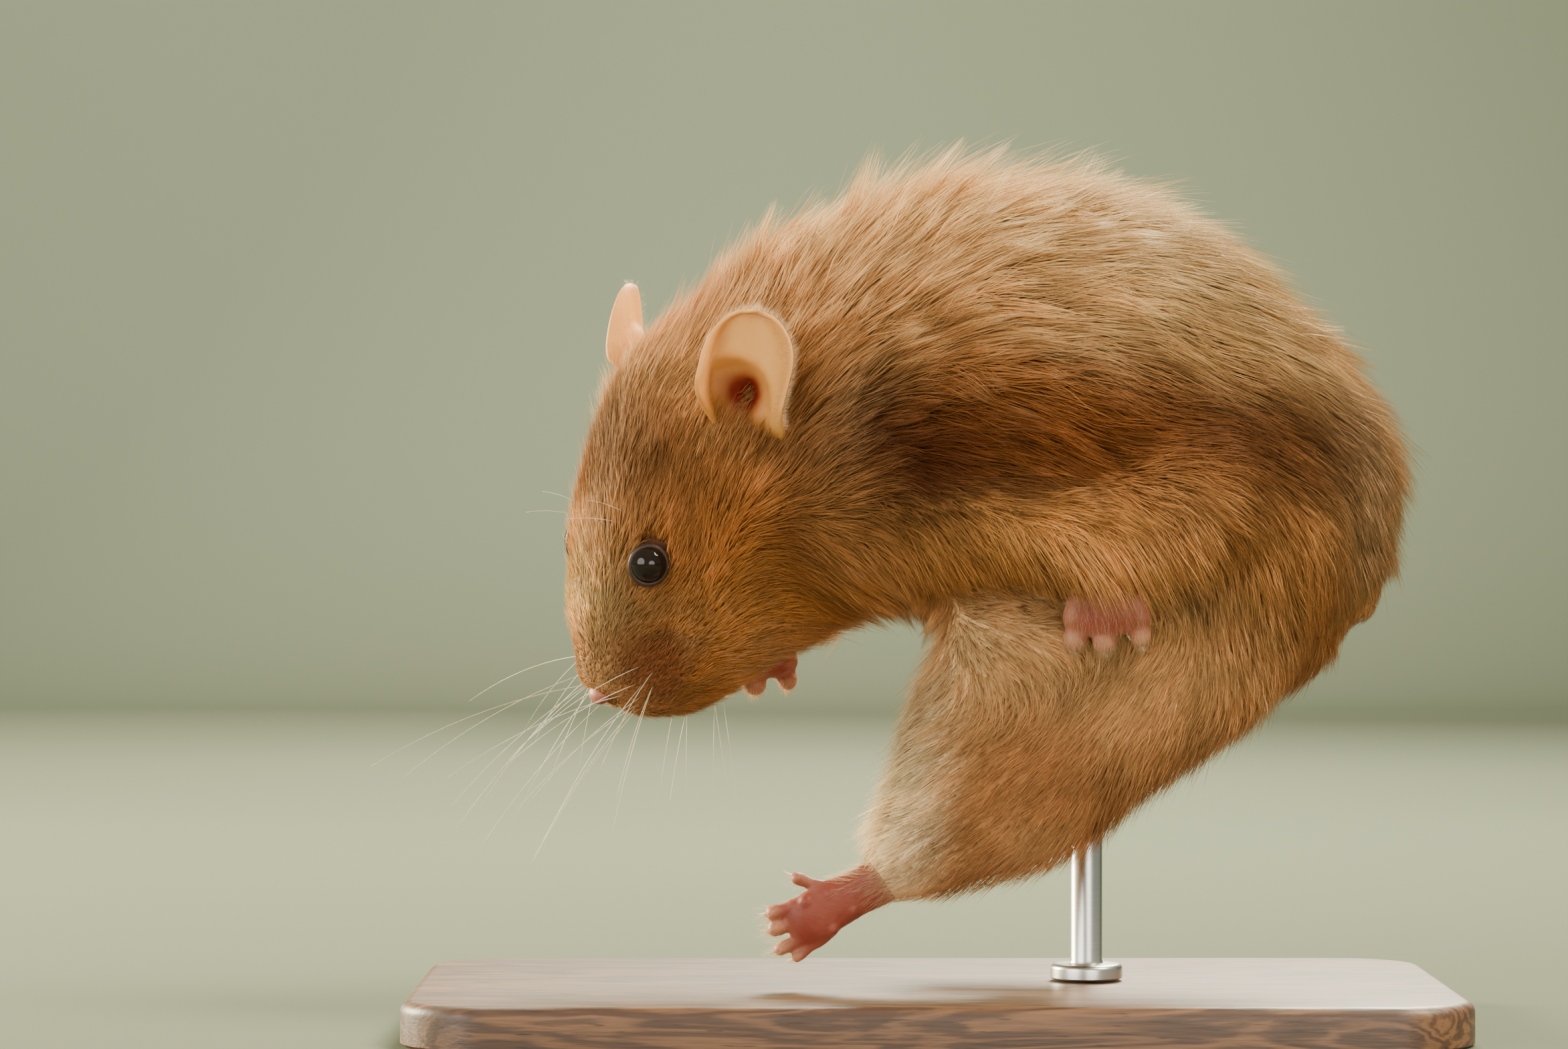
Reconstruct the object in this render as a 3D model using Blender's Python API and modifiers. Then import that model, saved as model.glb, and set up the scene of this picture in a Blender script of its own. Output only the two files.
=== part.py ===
"""Syrian hamster, a life-size still museum model that leans out over an edge, on a plain display stand.

The frame has +Z up and its origin under the middle of the stand's base. The animal faces -X and its left
side faces -Y. The coat is part of every solid: each one reaches out to the mean tips of the hair.
The body is modelled whole, as swellings and swept limbs fused by a voxel remesh, and is then parted
into its named pieces with thin cuts.
"""

import math

import bmesh
import bpy
from mathutils import Matrix, Vector

MM = 0.001
GAP = 0.3 * MM  # free space left between pieces that meet

# The stand
BASE_LENGTH = 143 * MM
BASE_WIDTH = 78 * MM
BASE_THICKNESS = 6 * MM
BASE_CORNER = 12 * MM
BASE_EDGE = 1.2 * MM
ROD_RADIUS = 2.2 * MM
COLLAR_RADIUS = 5.0 * MM
COLLAR_HEIGHT = 2.4 * MM
ROD_FOOT = Vector((0.0215, 0.001, BASE_THICKNESS))
ROD_TOP_Z = 52 * MM

# The head's own axes: nose-wards, to the animal's left, and to the top of the skull
NOSE_TIP = Vector((-0.0458, 0.0010, 0.0440))
HEAD_LEFT = Vector((0.52, -0.835, -0.18)).normalized()
NOSE_HEADING = Vector((-0.254, 0.053, -0.966))
HEAD_FORWARD = (NOSE_HEADING - HEAD_LEFT * HEAD_LEFT.dot(NOSE_HEADING)).normalized()
HEAD_UP = HEAD_FORWARD.cross(HEAD_LEFT)

EYE_RADIUS = 3.0 * MM
EYE_SEAT = (-21.5, 9.0, 3.9)  # along the head's axes, from the nose tip

# Each ear: a rounded cup, given by the middle of its root, the heading of its tip and the way it opens
EARS = {
    "ear_left": ((-26.2, -16.7, 83.0), (0.10, -0.14, 0.98), (-0.25, -0.92, -0.22), 1),
    "ear_right": ((-41.4, 9.5, 88.0), (-0.12, 0.12, 0.98), (-0.96, 0.20, -0.05), -1),
}
EAR_LENGTH = 17.5
EAR_WIDTH = 15.0
EAR_DEPTH = 6.3
EAR_WALL = 0.9 * MM
EAR_SEGMENTS = 16
EAR_RINGS = 4

NOSE_SEAT = (-0.7, 0.2, 0.7)
NOSE_RADII = (1.9, 2.3, 1.7)

BODY_VOXEL = 0.9 * MM
BODY_TRIANGLES = 3000
PAW_VOXEL = 0.3 * MM
PAW_TRIANGLES = 330


# Base colour, roughness and metallic value by the start of a piece's name
LOOKS = {
    "eye": ((0.012, 0.010, 0.009), 0.06, 0.0),
    "ear": ((0.62, 0.34, 0.24), 0.6, 0.0),
    "nose": ((0.62, 0.28, 0.24), 0.45, 0.0),
    "forepaw": ((0.66, 0.33, 0.26), 0.55, 0.0),
    "hindfoot": ((0.66, 0.33, 0.26), 0.55, 0.0),
    "stand_base": ((0.13, 0.065, 0.035), 0.4, 0.0),
    "stand_rod": ((0.55, 0.55, 0.54), 0.3, 1.0),
    "": ((0.46, 0.21, 0.065), 0.85, 0.0),
}


def head_point(forward, left, up):
    """A point given in millimetres along the head's axes, from the nose tip."""
    return NOSE_TIP + MM * (forward * HEAD_FORWARD + left * HEAD_LEFT + up * HEAD_UP)


def head_axes():
    """The head's axes as the columns of a rotation."""
    return Matrix((HEAD_FORWARD, HEAD_LEFT, HEAD_UP)).transposed()


def pitched(degrees):
    """A rotation about Y that lifts the +X axis by the given angle."""
    return Matrix.Rotation(math.radians(-degrees), 3, "Y")


# Every limb and the trunk itself is a swept line of (x, y, z, radius) points, in millimetres.
# The second value of each entry flattens it sideways about the y of its first point.
TRUNK = [
    (-28, 0, 85, 18.3),
    (-17, 0, 84, 25.5),
    (-5, 0, 86.5, 30.5),
    (9, 0, 88, 31.0),
    (23, 0, 86.5, 30.0),
    (37, 0, 79.5, 26.0),
    (44.5, 0, 73, 22.5),
    (43.5, 0, 60, 16.5),
]
LEG_NEAR = [
    (32, -13.5, 56, 20.0),
    (19.5, -13.5, 49, 21.6),
    (12.8, -13.5, 41.1, 19.7),
    (7.2, -13.5, 34.2, 17.2),
    (0.4, -13.5, 28.0, 12.6),
    (-4.4, -13.5, 23.4, 8.4),
    (-8.0, -13.5, 19.7, 4.4),
]
LEG_FAR = [
    (32, 13.5, 60, 19.0),
    (22, 14.5, 54, 16.0),
    (15, 15.5, 47, 11.0),
    (15.5, 15.5, 38, 8.0),
    (16.5, 15.0, 31, 4.6),
]
ARM_NEAR = [
    (-9, -13.0, 75, 12.0),
    (4, -16.5, 68, 9.5),
    (14, -21.0, 66, 7.5),
    (22.5, -25.5, 63.8, 5.0),
    (23.4, -28.0, 60, 3.5),
]
ARM_FAR = [(-9, 13.0, 75, 12.0), (-10, 15.5, 65, 8.0), (-14, 18.2, 58, 5.2), (-19.5, 19.0, 53.5, 3.5)]
TAIL = [(54, 0, 67, 4.6), (60, 0, 61, 3.1), (61.3, 0, 54.5, 1.6)]
SWEEPS = {
    "trunk": (TRUNK, 1.0),
    "leg near": (LEG_NEAR, 0.5),
    "leg far": (LEG_FAR, 0.62),
    "arm near": (ARM_NEAR, 0.8),
    "arm far": (ARM_FAR, 0.8),
    "tail": (TAIL, 1.0),
}

# Swellings laid over the trunk: centre, radii (x, y, z) and the lift of the long axis in degrees.
TRUNK_NARROW = 0.72  # the trunk's width for its height, at the neck and from the ribs back
TRUNK_WIDE = 0.87
TRUNK_SWELLINGS = {
    "throat": ((-21, -0.5, 63.5), (17, 14, 13), 24),
    "neck": ((-20, -0.5, 73), (17, 17.5, 16), 0),
    "nape": ((-24, 0, 94), (13, 13.5, 12.5), 40),
    "withers": ((-13, 0, 99.5), (14, 14, 16.8), 60),
    "brisket": ((-4, 0, 70), (24, 19.5, 13.5), 12),
    "left ear seat": ((-27.5, -8.5, 80.5), (7.0, 6.0, 7.5), 0),
    "belly": ((21, 0, 65), (26, 24.0, 18), -4),
    "hip near": ((36, -11, 70), (22, 16.0, 22), 20),
    "hip far": ((36, 11, 70), (22, 16.0, 22), 20),
}

# The head's swellings along its own axes: centre (forward, left, up), radii the same way.
HEAD_SWELLINGS = {
    "skull": ((-29, 0, 0.0), (19, 12.5, 11.5)),
    "forehead": ((-20, 0, 1.6), (16, 8.5, 8.6)),
    "bridge": ((-10, 0, 0.2), (11, 6.0, 6.2)),
    "muzzle": ((-8, 0, -2.5), (9, 7.6, 6.4)),
    "chin": ((-8.8, 0, -10.8), (9.2, 6.2, 6.8)),
}
PAIRED_HEAD_SWELLINGS = {
    "cheek": ((-18, 6.5, -11.5), (14, 9.0, 11.0)),
    "jaw": ((-9.0, 3.5, -10.4), (8.6, 5.5, 6.8)),
    "whisker pad": ((-4.6, 4.2, -5.4), (5.6, 4.8, 5.2)),
    "eye mound": ((-21.5, 6.0, 3.0), (6.5, 5.0, 5.0)),
    "ear root": ((-38, 9.0, 0.5), (8, 5.6, 5.4)),
    "temple": ((-25, 6.0, -3.5), (13, 6.6, 9.0)),
}

# Each paw in its own frame, in millimetres: along the palm towards the toes, across it, and out of its back.
# A palm point is (along, across, out, radius); a toe is (along and across at its root, length, splay in degrees,
# radius). The curl bends the toes towards the sole, in degrees.
FOREPAW = {
    "palm": [(-4.5, 0, 0, 3.4), (-1.2, -0.4, 0, 3.6), (0.9, -1.9, 0, 3.2), (0.9, 1.9, 0, 3.2)],
    "cuff": (-2.6, 5.0),
    "flatness": 0.7,
    "toes": [
        (1.2, -4.7, 5.4, -2, 1.45),
        (2.2, -1.4, 5.2, 0, 1.6),
        (1.8, 1.9, 4.0, 4, 1.15),
        (1.2, 4.7, 5.0, 4, 1.15),
    ],
    "curl": 8,
    "claw": (0.9, 0.42),
}
HINDFOOT = {
    "palm": [(-2.5, -0.2, 0, 3.4), (2.5, 0, 0, 3.5), (6.5, 0.2, 0, 3.9), (8.4, -0.2, 0, 4.0)],
    "cuff": (0.0, 3.8),
    "flatness": 0.56,
    "toes": [
        (5.6, 2.6, 5.0, 50, 1.15),
        (9.6, 2.2, 5.0, 15, 1.3),
        (10.2, 0.1, 5.2, 13, 1.3),
        (9.6, -1.9, 6.2, 0, 1.2),
        (8.6, -3.2, 5.6, -9, 1.05),
    ],
    "curl": -4,
    "claw": (0.9, 0.42),
}

# Where each paw sits: wrist or heel point, direction of the toes, direction of the back of the paw,
# and on which side of the toes' direction the last toe lies.
PAW_PLACES = {
    "forepaw_left": (FOREPAW, (22.8, -28.2, 58.8), (0.02, 0.02, -1.0), (-0.05, -1.0, 0.10), 1),
    "forepaw_right": (FOREPAW, (-24.0, 19.2, 51.0), (-0.06, 0.10, -0.99), (-0.30, 0.95, 0.0), -1),
    "hindfoot_left": (HINDFOOT, (-8.8, -13.5, 20.1), (-0.883, -0.02, -0.47), (-0.06, 1.0, 0.1), 1),
    "hindfoot_right": (HINDFOOT, (14.5, 15.0, 27.5), (-0.96, -0.02, 0.10), (0.10, 0.25, 0.96), -1),
}


def smooth_stations(stations, steps=6):
    """Catmull-Rom through (x, y, z, radius) stations, in metres."""
    rows = [[MM * value for value in station] for station in stations]
    ends = [rows[0]] + rows + [rows[-1]]
    found = []
    for a, b, c, d in zip(ends, ends[1:], ends[2:], ends[3:]):
        for k in range(steps):
            t = k / steps
            found.append(
                [
                    q
                    + 0.5 * (r - p) * t
                    + (p - 2.5 * q + 2 * r - 0.5 * s) * t**2
                    + (1.5 * q - 0.5 * p - 1.5 * r + 0.5 * s) * t**3
                    for p, q, r, s in zip(a, b, c, d)
                ]
            )
    return found + [rows[-1]]


def add_ellipsoid(form, centre, radii, turn=None, segments=28):
    """Adds a sphere primitive stretched to the three radii, turned and placed."""
    turn = (turn or Matrix.Identity(3)).to_4x4()
    bmesh.ops.create_uvsphere(
        form,
        u_segments=segments,
        v_segments=segments // 2,
        radius=1.0,
        matrix=Matrix.Translation(centre) @ turn @ Matrix.Diagonal(radii).to_4x4(),
    )


def add_sweep(form, stations, place=None, steps=6):
    """Adds a limb: a curve through the stations whose bevel swells and thins with their radii, and round ends."""
    line = smooth_stations(stations, steps)
    data = bpy.data.curves.new("sweep", "CURVE")
    data.dimensions = "3D"
    data.bevel_depth = 1.0
    data.bevel_resolution = 4
    data.use_fill_caps = True
    spline = data.splines.new("POLY")
    spline.points.add(len(line) - 1)
    for point, (x, y, z, radius) in zip(spline.points, line):
        point.co = (x, y, z, 1)
        point.radius = radius
    curve = bpy.data.objects.new("sweep", data)
    bpy.context.scene.collection.objects.link(curve)
    bpy.context.view_layer.update()
    mesh = bpy.data.meshes.new_from_object(curve.evaluated_get(bpy.context.evaluated_depsgraph_get()))
    part = bmesh.new()
    part.from_mesh(mesh)
    bmesh.ops.remove_doubles(part, verts=part.verts, dist=0.005 * MM)
    for x, y, z, radius in (line[0], line[-1]):
        add_ellipsoid(part, Vector((x, y, z)), (radius,) * 3, segments=14)
    if place:
        part.transform(place)
    part.to_mesh(mesh)
    part.free()
    form.from_mesh(mesh)
    bpy.data.objects.remove(curve)
    bpy.data.curves.remove(data)
    bpy.data.meshes.remove(mesh)


def cutters():
    """The collection that holds a cutter while it is in use."""
    found = bpy.data.collections.get("cutters")
    if not found:
        found = bpy.data.collections.new("cutters")
        bpy.context.scene.collection.children.link(found)
    return found


def face_outwards(form):
    """Turns every face outwards, judged by the sign of the enclosed volume."""
    bmesh.ops.recalc_face_normals(form, faces=form.faces)
    if form.calc_volume(signed=True) < 0:
        bmesh.ops.reverse_faces(form, faces=form.faces)
    form.normal_update()


def object_of(name, form, collection):
    """Links the form as an object of that name."""
    mesh = bpy.data.meshes.new(name)
    form.to_mesh(mesh)
    form.free()
    obj = bpy.data.objects.new(name, mesh)
    collection.objects.link(obj)
    return obj


def bake_modifiers(obj):
    """Replaces the object's mesh with its evaluated one."""
    bpy.context.view_layer.update()
    mesh = bpy.data.meshes.new_from_object(obj.evaluated_get(bpy.context.evaluated_depsgraph_get()))
    obj.modifiers.clear()
    old = obj.data
    obj.data = mesh
    bpy.data.meshes.remove(old)
    mesh.name = obj.name


def keep_largest_body(obj):
    """Drops the crumbs that a cut leaves beside the main body."""
    form = bmesh.new()
    form.from_mesh(obj.data)
    left = set(form.verts)
    bodies = []
    while left:
        reached = {left.pop()}
        front = list(reached)
        while front:
            for edge in front.pop().link_edges:
                for vert in edge.verts:
                    if vert not in reached:
                        reached.add(vert)
                        front.append(vert)
        left -= reached
        bodies.append(reached)
    bodies.sort(key=len)
    bmesh.ops.delete(form, geom=[vert for body in bodies[:-1] for vert in body], context="VERTS")
    form.to_mesh(obj.data)
    form.free()


def fuse(obj, voxel, smoothing, triangles):
    """Joins the object's overlapping shapes into one smooth skin of about that many triangles."""
    remesh = obj.modifiers.new("fuse", "REMESH")
    remesh.mode = "VOXEL"
    remesh.voxel_size = voxel
    smooth = obj.modifiers.new("soften", "SMOOTH")
    smooth.factor = 0.5
    smooth.iterations = smoothing
    bake_modifiers(obj)
    fewer = obj.modifiers.new("fewer", "DECIMATE")
    fewer.ratio = triangles / (2 * len(obj.data.polygons))
    bake_modifiers(obj)


def cut(obj, cutter, operation):
    """Applies one Boolean of the cutter to the object, and drops the cutter."""
    cutter.hide_render = True
    cutter.display_type = "WIRE"
    boolean = obj.modifiers.new(operation.lower(), "BOOLEAN")
    boolean.operation = operation
    boolean.solver = "EXACT"
    boolean.object = cutter
    bake_modifiers(obj)
    bpy.data.objects.remove(cutter)


def flattened(y, factor):
    """Squeezes everything sideways about the given y."""
    return Matrix.Translation((0, y, 0)) @ Matrix.Diagonal((1, factor, 1, 1)) @ Matrix.Translation((0, -y, 0))


def whole_body(collection):
    """Head, trunk and limbs, with the coat, as one smooth solid."""
    form = bmesh.new()
    for stations, factor in SWEEPS.values():
        add_sweep(form, stations, flattened(stations[0][1] * MM, factor))
        if stations is TRUNK:
            for vert in form.verts:
                rearwards = min(1, max(0, (vert.co.x + 0.026) / 0.044))
                vert.co.y *= TRUNK_NARROW + (TRUNK_WIDE - TRUNK_NARROW) * rearwards**2 * (3 - 2 * rearwards)
    for centre, radii, lift in TRUNK_SWELLINGS.values():
        add_ellipsoid(form, Vector(centre) * MM, [r * MM for r in radii], pitched(lift))
    for centre, radii in HEAD_SWELLINGS.values():
        add_ellipsoid(form, head_point(*centre), [r * MM for r in radii], head_axes())
    for (forward, left, up), radii in PAIRED_HEAD_SWELLINGS.values():
        for side in (1, -1):
            add_ellipsoid(form, head_point(forward, side * left, up), [r * MM for r in radii], head_axes())
    body = object_of("body", form, collection)
    fuse(body, BODY_VOXEL, smoothing=24, triangles=BODY_TRIANGLES)
    return body


def paw_matrix(place):
    """A paw's own frame: X along the toes, Y across towards the last toe, Z out of its back."""
    _, wrist, towards, back, side = place
    x = Vector(towards).normalized()
    z = (Vector(back) - x * x.dot(Vector(back))).normalized()
    y = z.cross(x) * side
    frame = Matrix((x, y, z)).transposed().to_4x4()
    return Matrix.Translation(Vector(wrist) * MM) @ frame


def paw(name, place, collection):
    """A bare paw: a flattened palm with its toes, each ending in a claw, cut square at the cuff."""
    plan = place[0]
    frame = paw_matrix(place)
    form = bmesh.new()
    add_sweep(form, plan["palm"], frame @ Matrix.Diagonal((1, 1, plan["flatness"])).to_4x4())
    claw_length, claw_radius = plan["claw"]
    for along, across, length, splay, radius in plan["toes"]:
        heading = Matrix.Rotation(math.radians(splay), 3, "Z") @ Matrix.Rotation(math.radians(plan["curl"]), 3, "Y")
        root = Vector((along, across, 0))
        start = Vector((along - 3.0, across * 0.7, 0))
        tip = root + heading @ Vector((length - radius, 0, 0))
        pad = root + (tip - root) * 0.6
        stations = [(*start, radius), (*root, radius), (*pad, radius * 0.9), (*tip, radius * 0.9)]
        add_sweep(form, stations, frame, steps=3)
        claw_heading = heading @ Matrix.Rotation(math.radians(14), 3, "Y") @ Vector((1, 0, 0))
        claw_root = tip + claw_heading * 0.2
        claw_tip = claw_root + claw_heading * (claw_length + radius * 0.6)
        add_sweep(form, [(*claw_root, claw_radius), (*claw_tip, 0.3)], frame, steps=2)
    bmesh.ops.recalc_face_normals(form, faces=form.faces)
    obj = object_of(name, form, collection)
    fuse(obj, PAW_VOXEL, smoothing=2, triangles=PAW_TRIANGLES)
    form = bmesh.new()
    form.from_mesh(obj.data)
    found = bmesh.ops.bisect_plane(
        form,
        geom=form.verts[:] + form.edges[:] + form.faces[:],
        plane_co=frame @ Vector((plan["cuff"][0] * MM + GAP / 2, 0, 0)),
        plane_no=frame.to_3x3() @ Vector((1, 0, 0)),
        clear_inner=True,
    )
    rim = [item for item in found["geom_cut"] if isinstance(item, bmesh.types.BMEdge)]
    bmesh.ops.contextual_create(form, geom=rim)
    form.to_mesh(obj.data)
    form.free()
    return tidied(obj)


def hull_of(points, frame=None, grown=0.0):
    """A convex cutter about the points, in millimetres, moved out all round by the given length."""
    form = bmesh.new()
    for point in points:
        form.verts.new(Vector(point) * MM)
    found = bmesh.ops.convex_hull(form, input=form.verts)
    spare = {item for key in ("geom_interior", "geom_unused") for item in found[key]}
    bmesh.ops.delete(form, geom=[v for v in spare if isinstance(v, bmesh.types.BMVert)], context="VERTS")
    if frame:
        form.transform(frame)
    face_outwards(form)
    moves = [v.normal * grown * v.calc_shell_factor() for v in form.verts]
    for vert, move in zip(form.verts, moves):
        vert.co += move
    return object_of("cutter", form, cutters())


def box_of(low, high, frame=None, grown=0.0):
    """A box cutter between two corners, in millimetres, in the given frame."""
    corners = [(x, y, z) for x in (low[0], high[0]) for y in (low[1], high[1]) for z in (low[2], high[2])]
    return hull_of(corners, frame, grown)


def ball_points(balls):
    """Points over a few balls (x, y, z, radius), in millimetres, for a rounded cutter."""
    return [
        (x + r * math.cos(turn) * math.cos(lift), y + r * math.sin(turn) * math.cos(lift), z + r * math.sin(lift))
        for x, y, z, r in balls
        for turn in [math.radians(30 * k) for k in range(12)]
        for lift in [math.radians(30 * k) for k in range(-3, 4)]
    ]


def slab_points(point, normal, reach=160):
    """The corners of a great box that fills the side of a plane that its normal points to."""
    normal = Vector(normal).normalized()
    side = normal.orthogonal().normalized()
    other = normal.cross(side)
    return [
        Vector(point) + normal * far + side * u + other * v
        for far in (0, reach)
        for u in (-reach, reach)
        for v in (-reach, reach)
    ]


def prism_points(outline, low, high):
    """The corners of a prism across the body, between two y, whose outline is a convex row of (x, z) points."""
    return [(x, y, z) for y in (low, high) for x, z in outline]


def groin_points(side):
    """The corners of the space around one leg: below the flank's edge and outside of the sloping groin."""
    points = []
    for x, top in ((-14, 54.6), (90, 64.8)):
        groin = 2 + (top - 45) * 8 / 15
        points += [(x, side * y, z) for y, z in ((70, top), (groin, top), (-6, 30), (-6, -20), (70, -20))]
    return points


def tidied(obj):
    """Clears slivers that a Boolean leaves, and faces every side outwards."""
    keep_largest_body(obj)
    form = bmesh.new()
    form.from_mesh(obj.data)
    bmesh.ops.dissolve_degenerate(form, dist=0.01 * MM, edges=form.edges)
    bmesh.ops.dissolve_limit(form, angle_limit=math.radians(0.4), verts=form.verts, edges=form.edges)
    bmesh.ops.triangulate(form, faces=form.faces)
    face_outwards(form)
    form.to_mesh(obj.data)
    form.free()
    return obj


def parted(rest, name, points, collection):
    """Takes the part of the body inside the points' hull as its own piece, with a thin gap to the rest."""
    piece = bpy.data.objects.new(name, rest.data.copy())
    collection.objects.link(piece)
    cut(piece, hull_of(points), "INTERSECT")
    cut(rest, hull_of(points, grown=GAP), "DIFFERENCE")
    return tidied(piece)


def swollen(obj, amount):
    """A cutter shaped like the object and larger all round."""
    form = bmesh.new()
    form.from_mesh(obj.data)
    face_outwards(form)
    moves = [v.normal * amount * min(1.6, v.calc_shell_factor()) for v in form.verts]
    for vert, move in zip(form.verts, moves):
        vert.co += move
    return object_of("cutter", form, cutters())


def ear(name, place, collection):
    """A thin rounded cup: a disc dished towards its root and given a wall."""
    root, tip, opening, side = place
    tip = Vector(tip).normalized()
    opening = (Vector(opening) - tip * tip.dot(Vector(opening))).normalized()
    across = opening.cross(tip) * side
    form = bmesh.new()
    bmesh.ops.create_circle(form, cap_ends=False, segments=EAR_SEGMENTS, radius=1.0)
    rim = list(form.verts)
    rings = [rim]
    for k in range(1, EAR_RINGS):
        rings.append([form.verts.new(v.co * (1 - k / EAR_RINGS)) for v in rim])
    centre = form.verts.new((0, 0, 0))
    count = len(rim)
    for outer, inner in zip(rings, rings[1:]):
        for k in range(count):
            form.faces.new((outer[k], outer[(k + 1) % count], inner[(k + 1) % count], inner[k]))
    for k in range(count):
        form.faces.new((rings[-1][k], rings[-1][(k + 1) % count], centre))
    for vert in form.verts:
        u, v = vert.co.x, vert.co.y
        height = (v + 1) / 2
        wide = 0.5 * EAR_WIDTH * (0.80 + 0.34 * height - 0.14 * height**2)
        dish = EAR_DEPTH * (1 - 0.72 * height) * (1 - u * u) * (1 - max(0, v) ** 3)
        curve_back = 2.2 * height**2
        vert.co = MM * (
            Vector(root)
            + tip * (EAR_LENGTH * height - 2.0)
            + across * (wide * u)
            - opening * (dish + curve_back - 2.5)
        )
    obj = object_of(name, form, collection)
    wall = obj.modifiers.new("wall", "SOLIDIFY")
    wall.thickness = EAR_WALL
    wall.offset = 0
    bake_modifiers(obj)
    return tidied(obj)


def ball(name, centre, radii, turn, segments, collection):
    """A single ellipsoid as its own piece."""
    form = bmesh.new()
    add_ellipsoid(form, centre, radii, turn, segments)
    face_outwards(form)
    return object_of(name, form, collection)


def stand(collection):
    """A flat base with rounded corners and edges, and one collared rod; made in place."""
    form = bmesh.new()
    bmesh.ops.create_cube(form, size=1.0)
    bmesh.ops.scale(form, vec=(BASE_LENGTH, BASE_WIDTH, BASE_THICKNESS), verts=form.verts)
    bmesh.ops.translate(form, vec=(0, 0, BASE_THICKNESS / 2), verts=form.verts)
    upright = [e for e in form.edges if abs(e.verts[0].co.z - e.verts[1].co.z) > BASE_THICKNESS / 2]
    bmesh.ops.bevel(form, geom=upright, offset=BASE_CORNER, segments=6, profile=0.5, affect="EDGES")
    top = [e for e in form.edges if all(v.co.z > BASE_THICKNESS * 0.99 for v in e.verts)]
    bmesh.ops.bevel(form, geom=top, offset=BASE_EDGE, segments=2, profile=0.5, affect="EDGES")
    base = object_of("stand_base", form, collection)
    tidied(base)

    top = ROD_TOP_Z - BASE_THICKNESS
    profile = [
        (0, top),
        (ROD_RADIUS - 0.6 * MM, top),
        (ROD_RADIUS, top - 0.6 * MM),
        (ROD_RADIUS, COLLAR_HEIGHT),
        (COLLAR_RADIUS - 0.7 * MM, COLLAR_HEIGHT),
        (COLLAR_RADIUS, COLLAR_HEIGHT * 0.7),
        (COLLAR_RADIUS, GAP),
        (0, GAP),
    ]
    form = bmesh.new()
    verts = [form.verts.new((radius, 0, height)) for radius, height in profile]
    for pair in zip(verts, verts[1:]):
        form.edges.new(pair)
    rod = object_of("stand_rod", form, collection)
    rod.location = ROD_FOOT
    turned = rod.modifiers.new("turned", "SCREW")
    turned.steps = turned.render_steps = 18
    turned.use_merge_vertices = True
    turned.merge_threshold = 0.00001
    bake_modifiers(rod)
    rod.data.transform(Matrix.Translation(ROD_FOOT))
    rod.location = (0, 0, 0)
    tidied(rod)
    return rod


def paint(obj):
    """Gives the piece its own material, and smooth shading with its true edges kept sharp."""
    colour, roughness, metallic = next(look for key, look in LOOKS.items() if obj.name.startswith(key))
    material = bpy.data.materials.new(obj.name)
    material.use_nodes = True
    shader = material.node_tree.nodes["Principled BSDF"]
    shader.inputs["Base Color"].default_value = (*colour, 1)
    shader.inputs["Roughness"].default_value = roughness
    shader.inputs["Metallic"].default_value = metallic
    obj.data.materials.clear()
    obj.data.materials.append(material)
    obj.data.shade_smooth()
    obj.data.set_sharp_from_angle(angle=math.radians(40))


def hang(obj, root):
    """Moves the piece's origin to its middle and hangs it on the root."""
    middle = sum((Vector(corner) for corner in obj.bound_box), Vector()) / 8
    obj.data.transform(Matrix.Translation(-middle))
    obj.location = middle
    obj.parent = root


def regions():
    """Where the whole body is parted, in the order of the cuts."""
    return {
        "foreleg_left": ball_points([(-2, -22, 70, 8), (8, -24, 67, 8.5), (16, -26, 65, 8), (23, -29, 61, 7.5)]),
        "foreleg_right": ball_points([(-8, 22, 71, 8), (-10, 21, 65, 8), (-15, 21, 57, 7), (-22, 20, 51, 6)]),
        "shank_left": prism_points(
            [(-1.2, 52.2), (27.3, 21.3), (20, 5), (-13.5, 5), (-13.5, 46), (-8, 52.2)], -40, 2
        ),
        "shank_right": prism_points([(4, 46.5), (23.5, 38), (26, 15), (4, 15)], 7, 40),
        "thigh_left": groin_points(-1),
        "thigh_right": groin_points(1),
        "head": slab_points((-19, 0, 51), (-0.83, -0.506, -0.233)),
        "tail": ball_points([(62.4, 0, 62, 3.6), (63.5, 0, 57, 3.8), (63.5, 0, 52, 3.4)]),
        "neck": slab_points((-3, 0, 56), (-0.985, 0, -0.171)),
        "rump": slab_points((30, 0, 45), (0.983, 0, -0.18)),
        "chest": slab_points((14, 0, 60), (-1, 0, 0.05)),
    }


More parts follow.
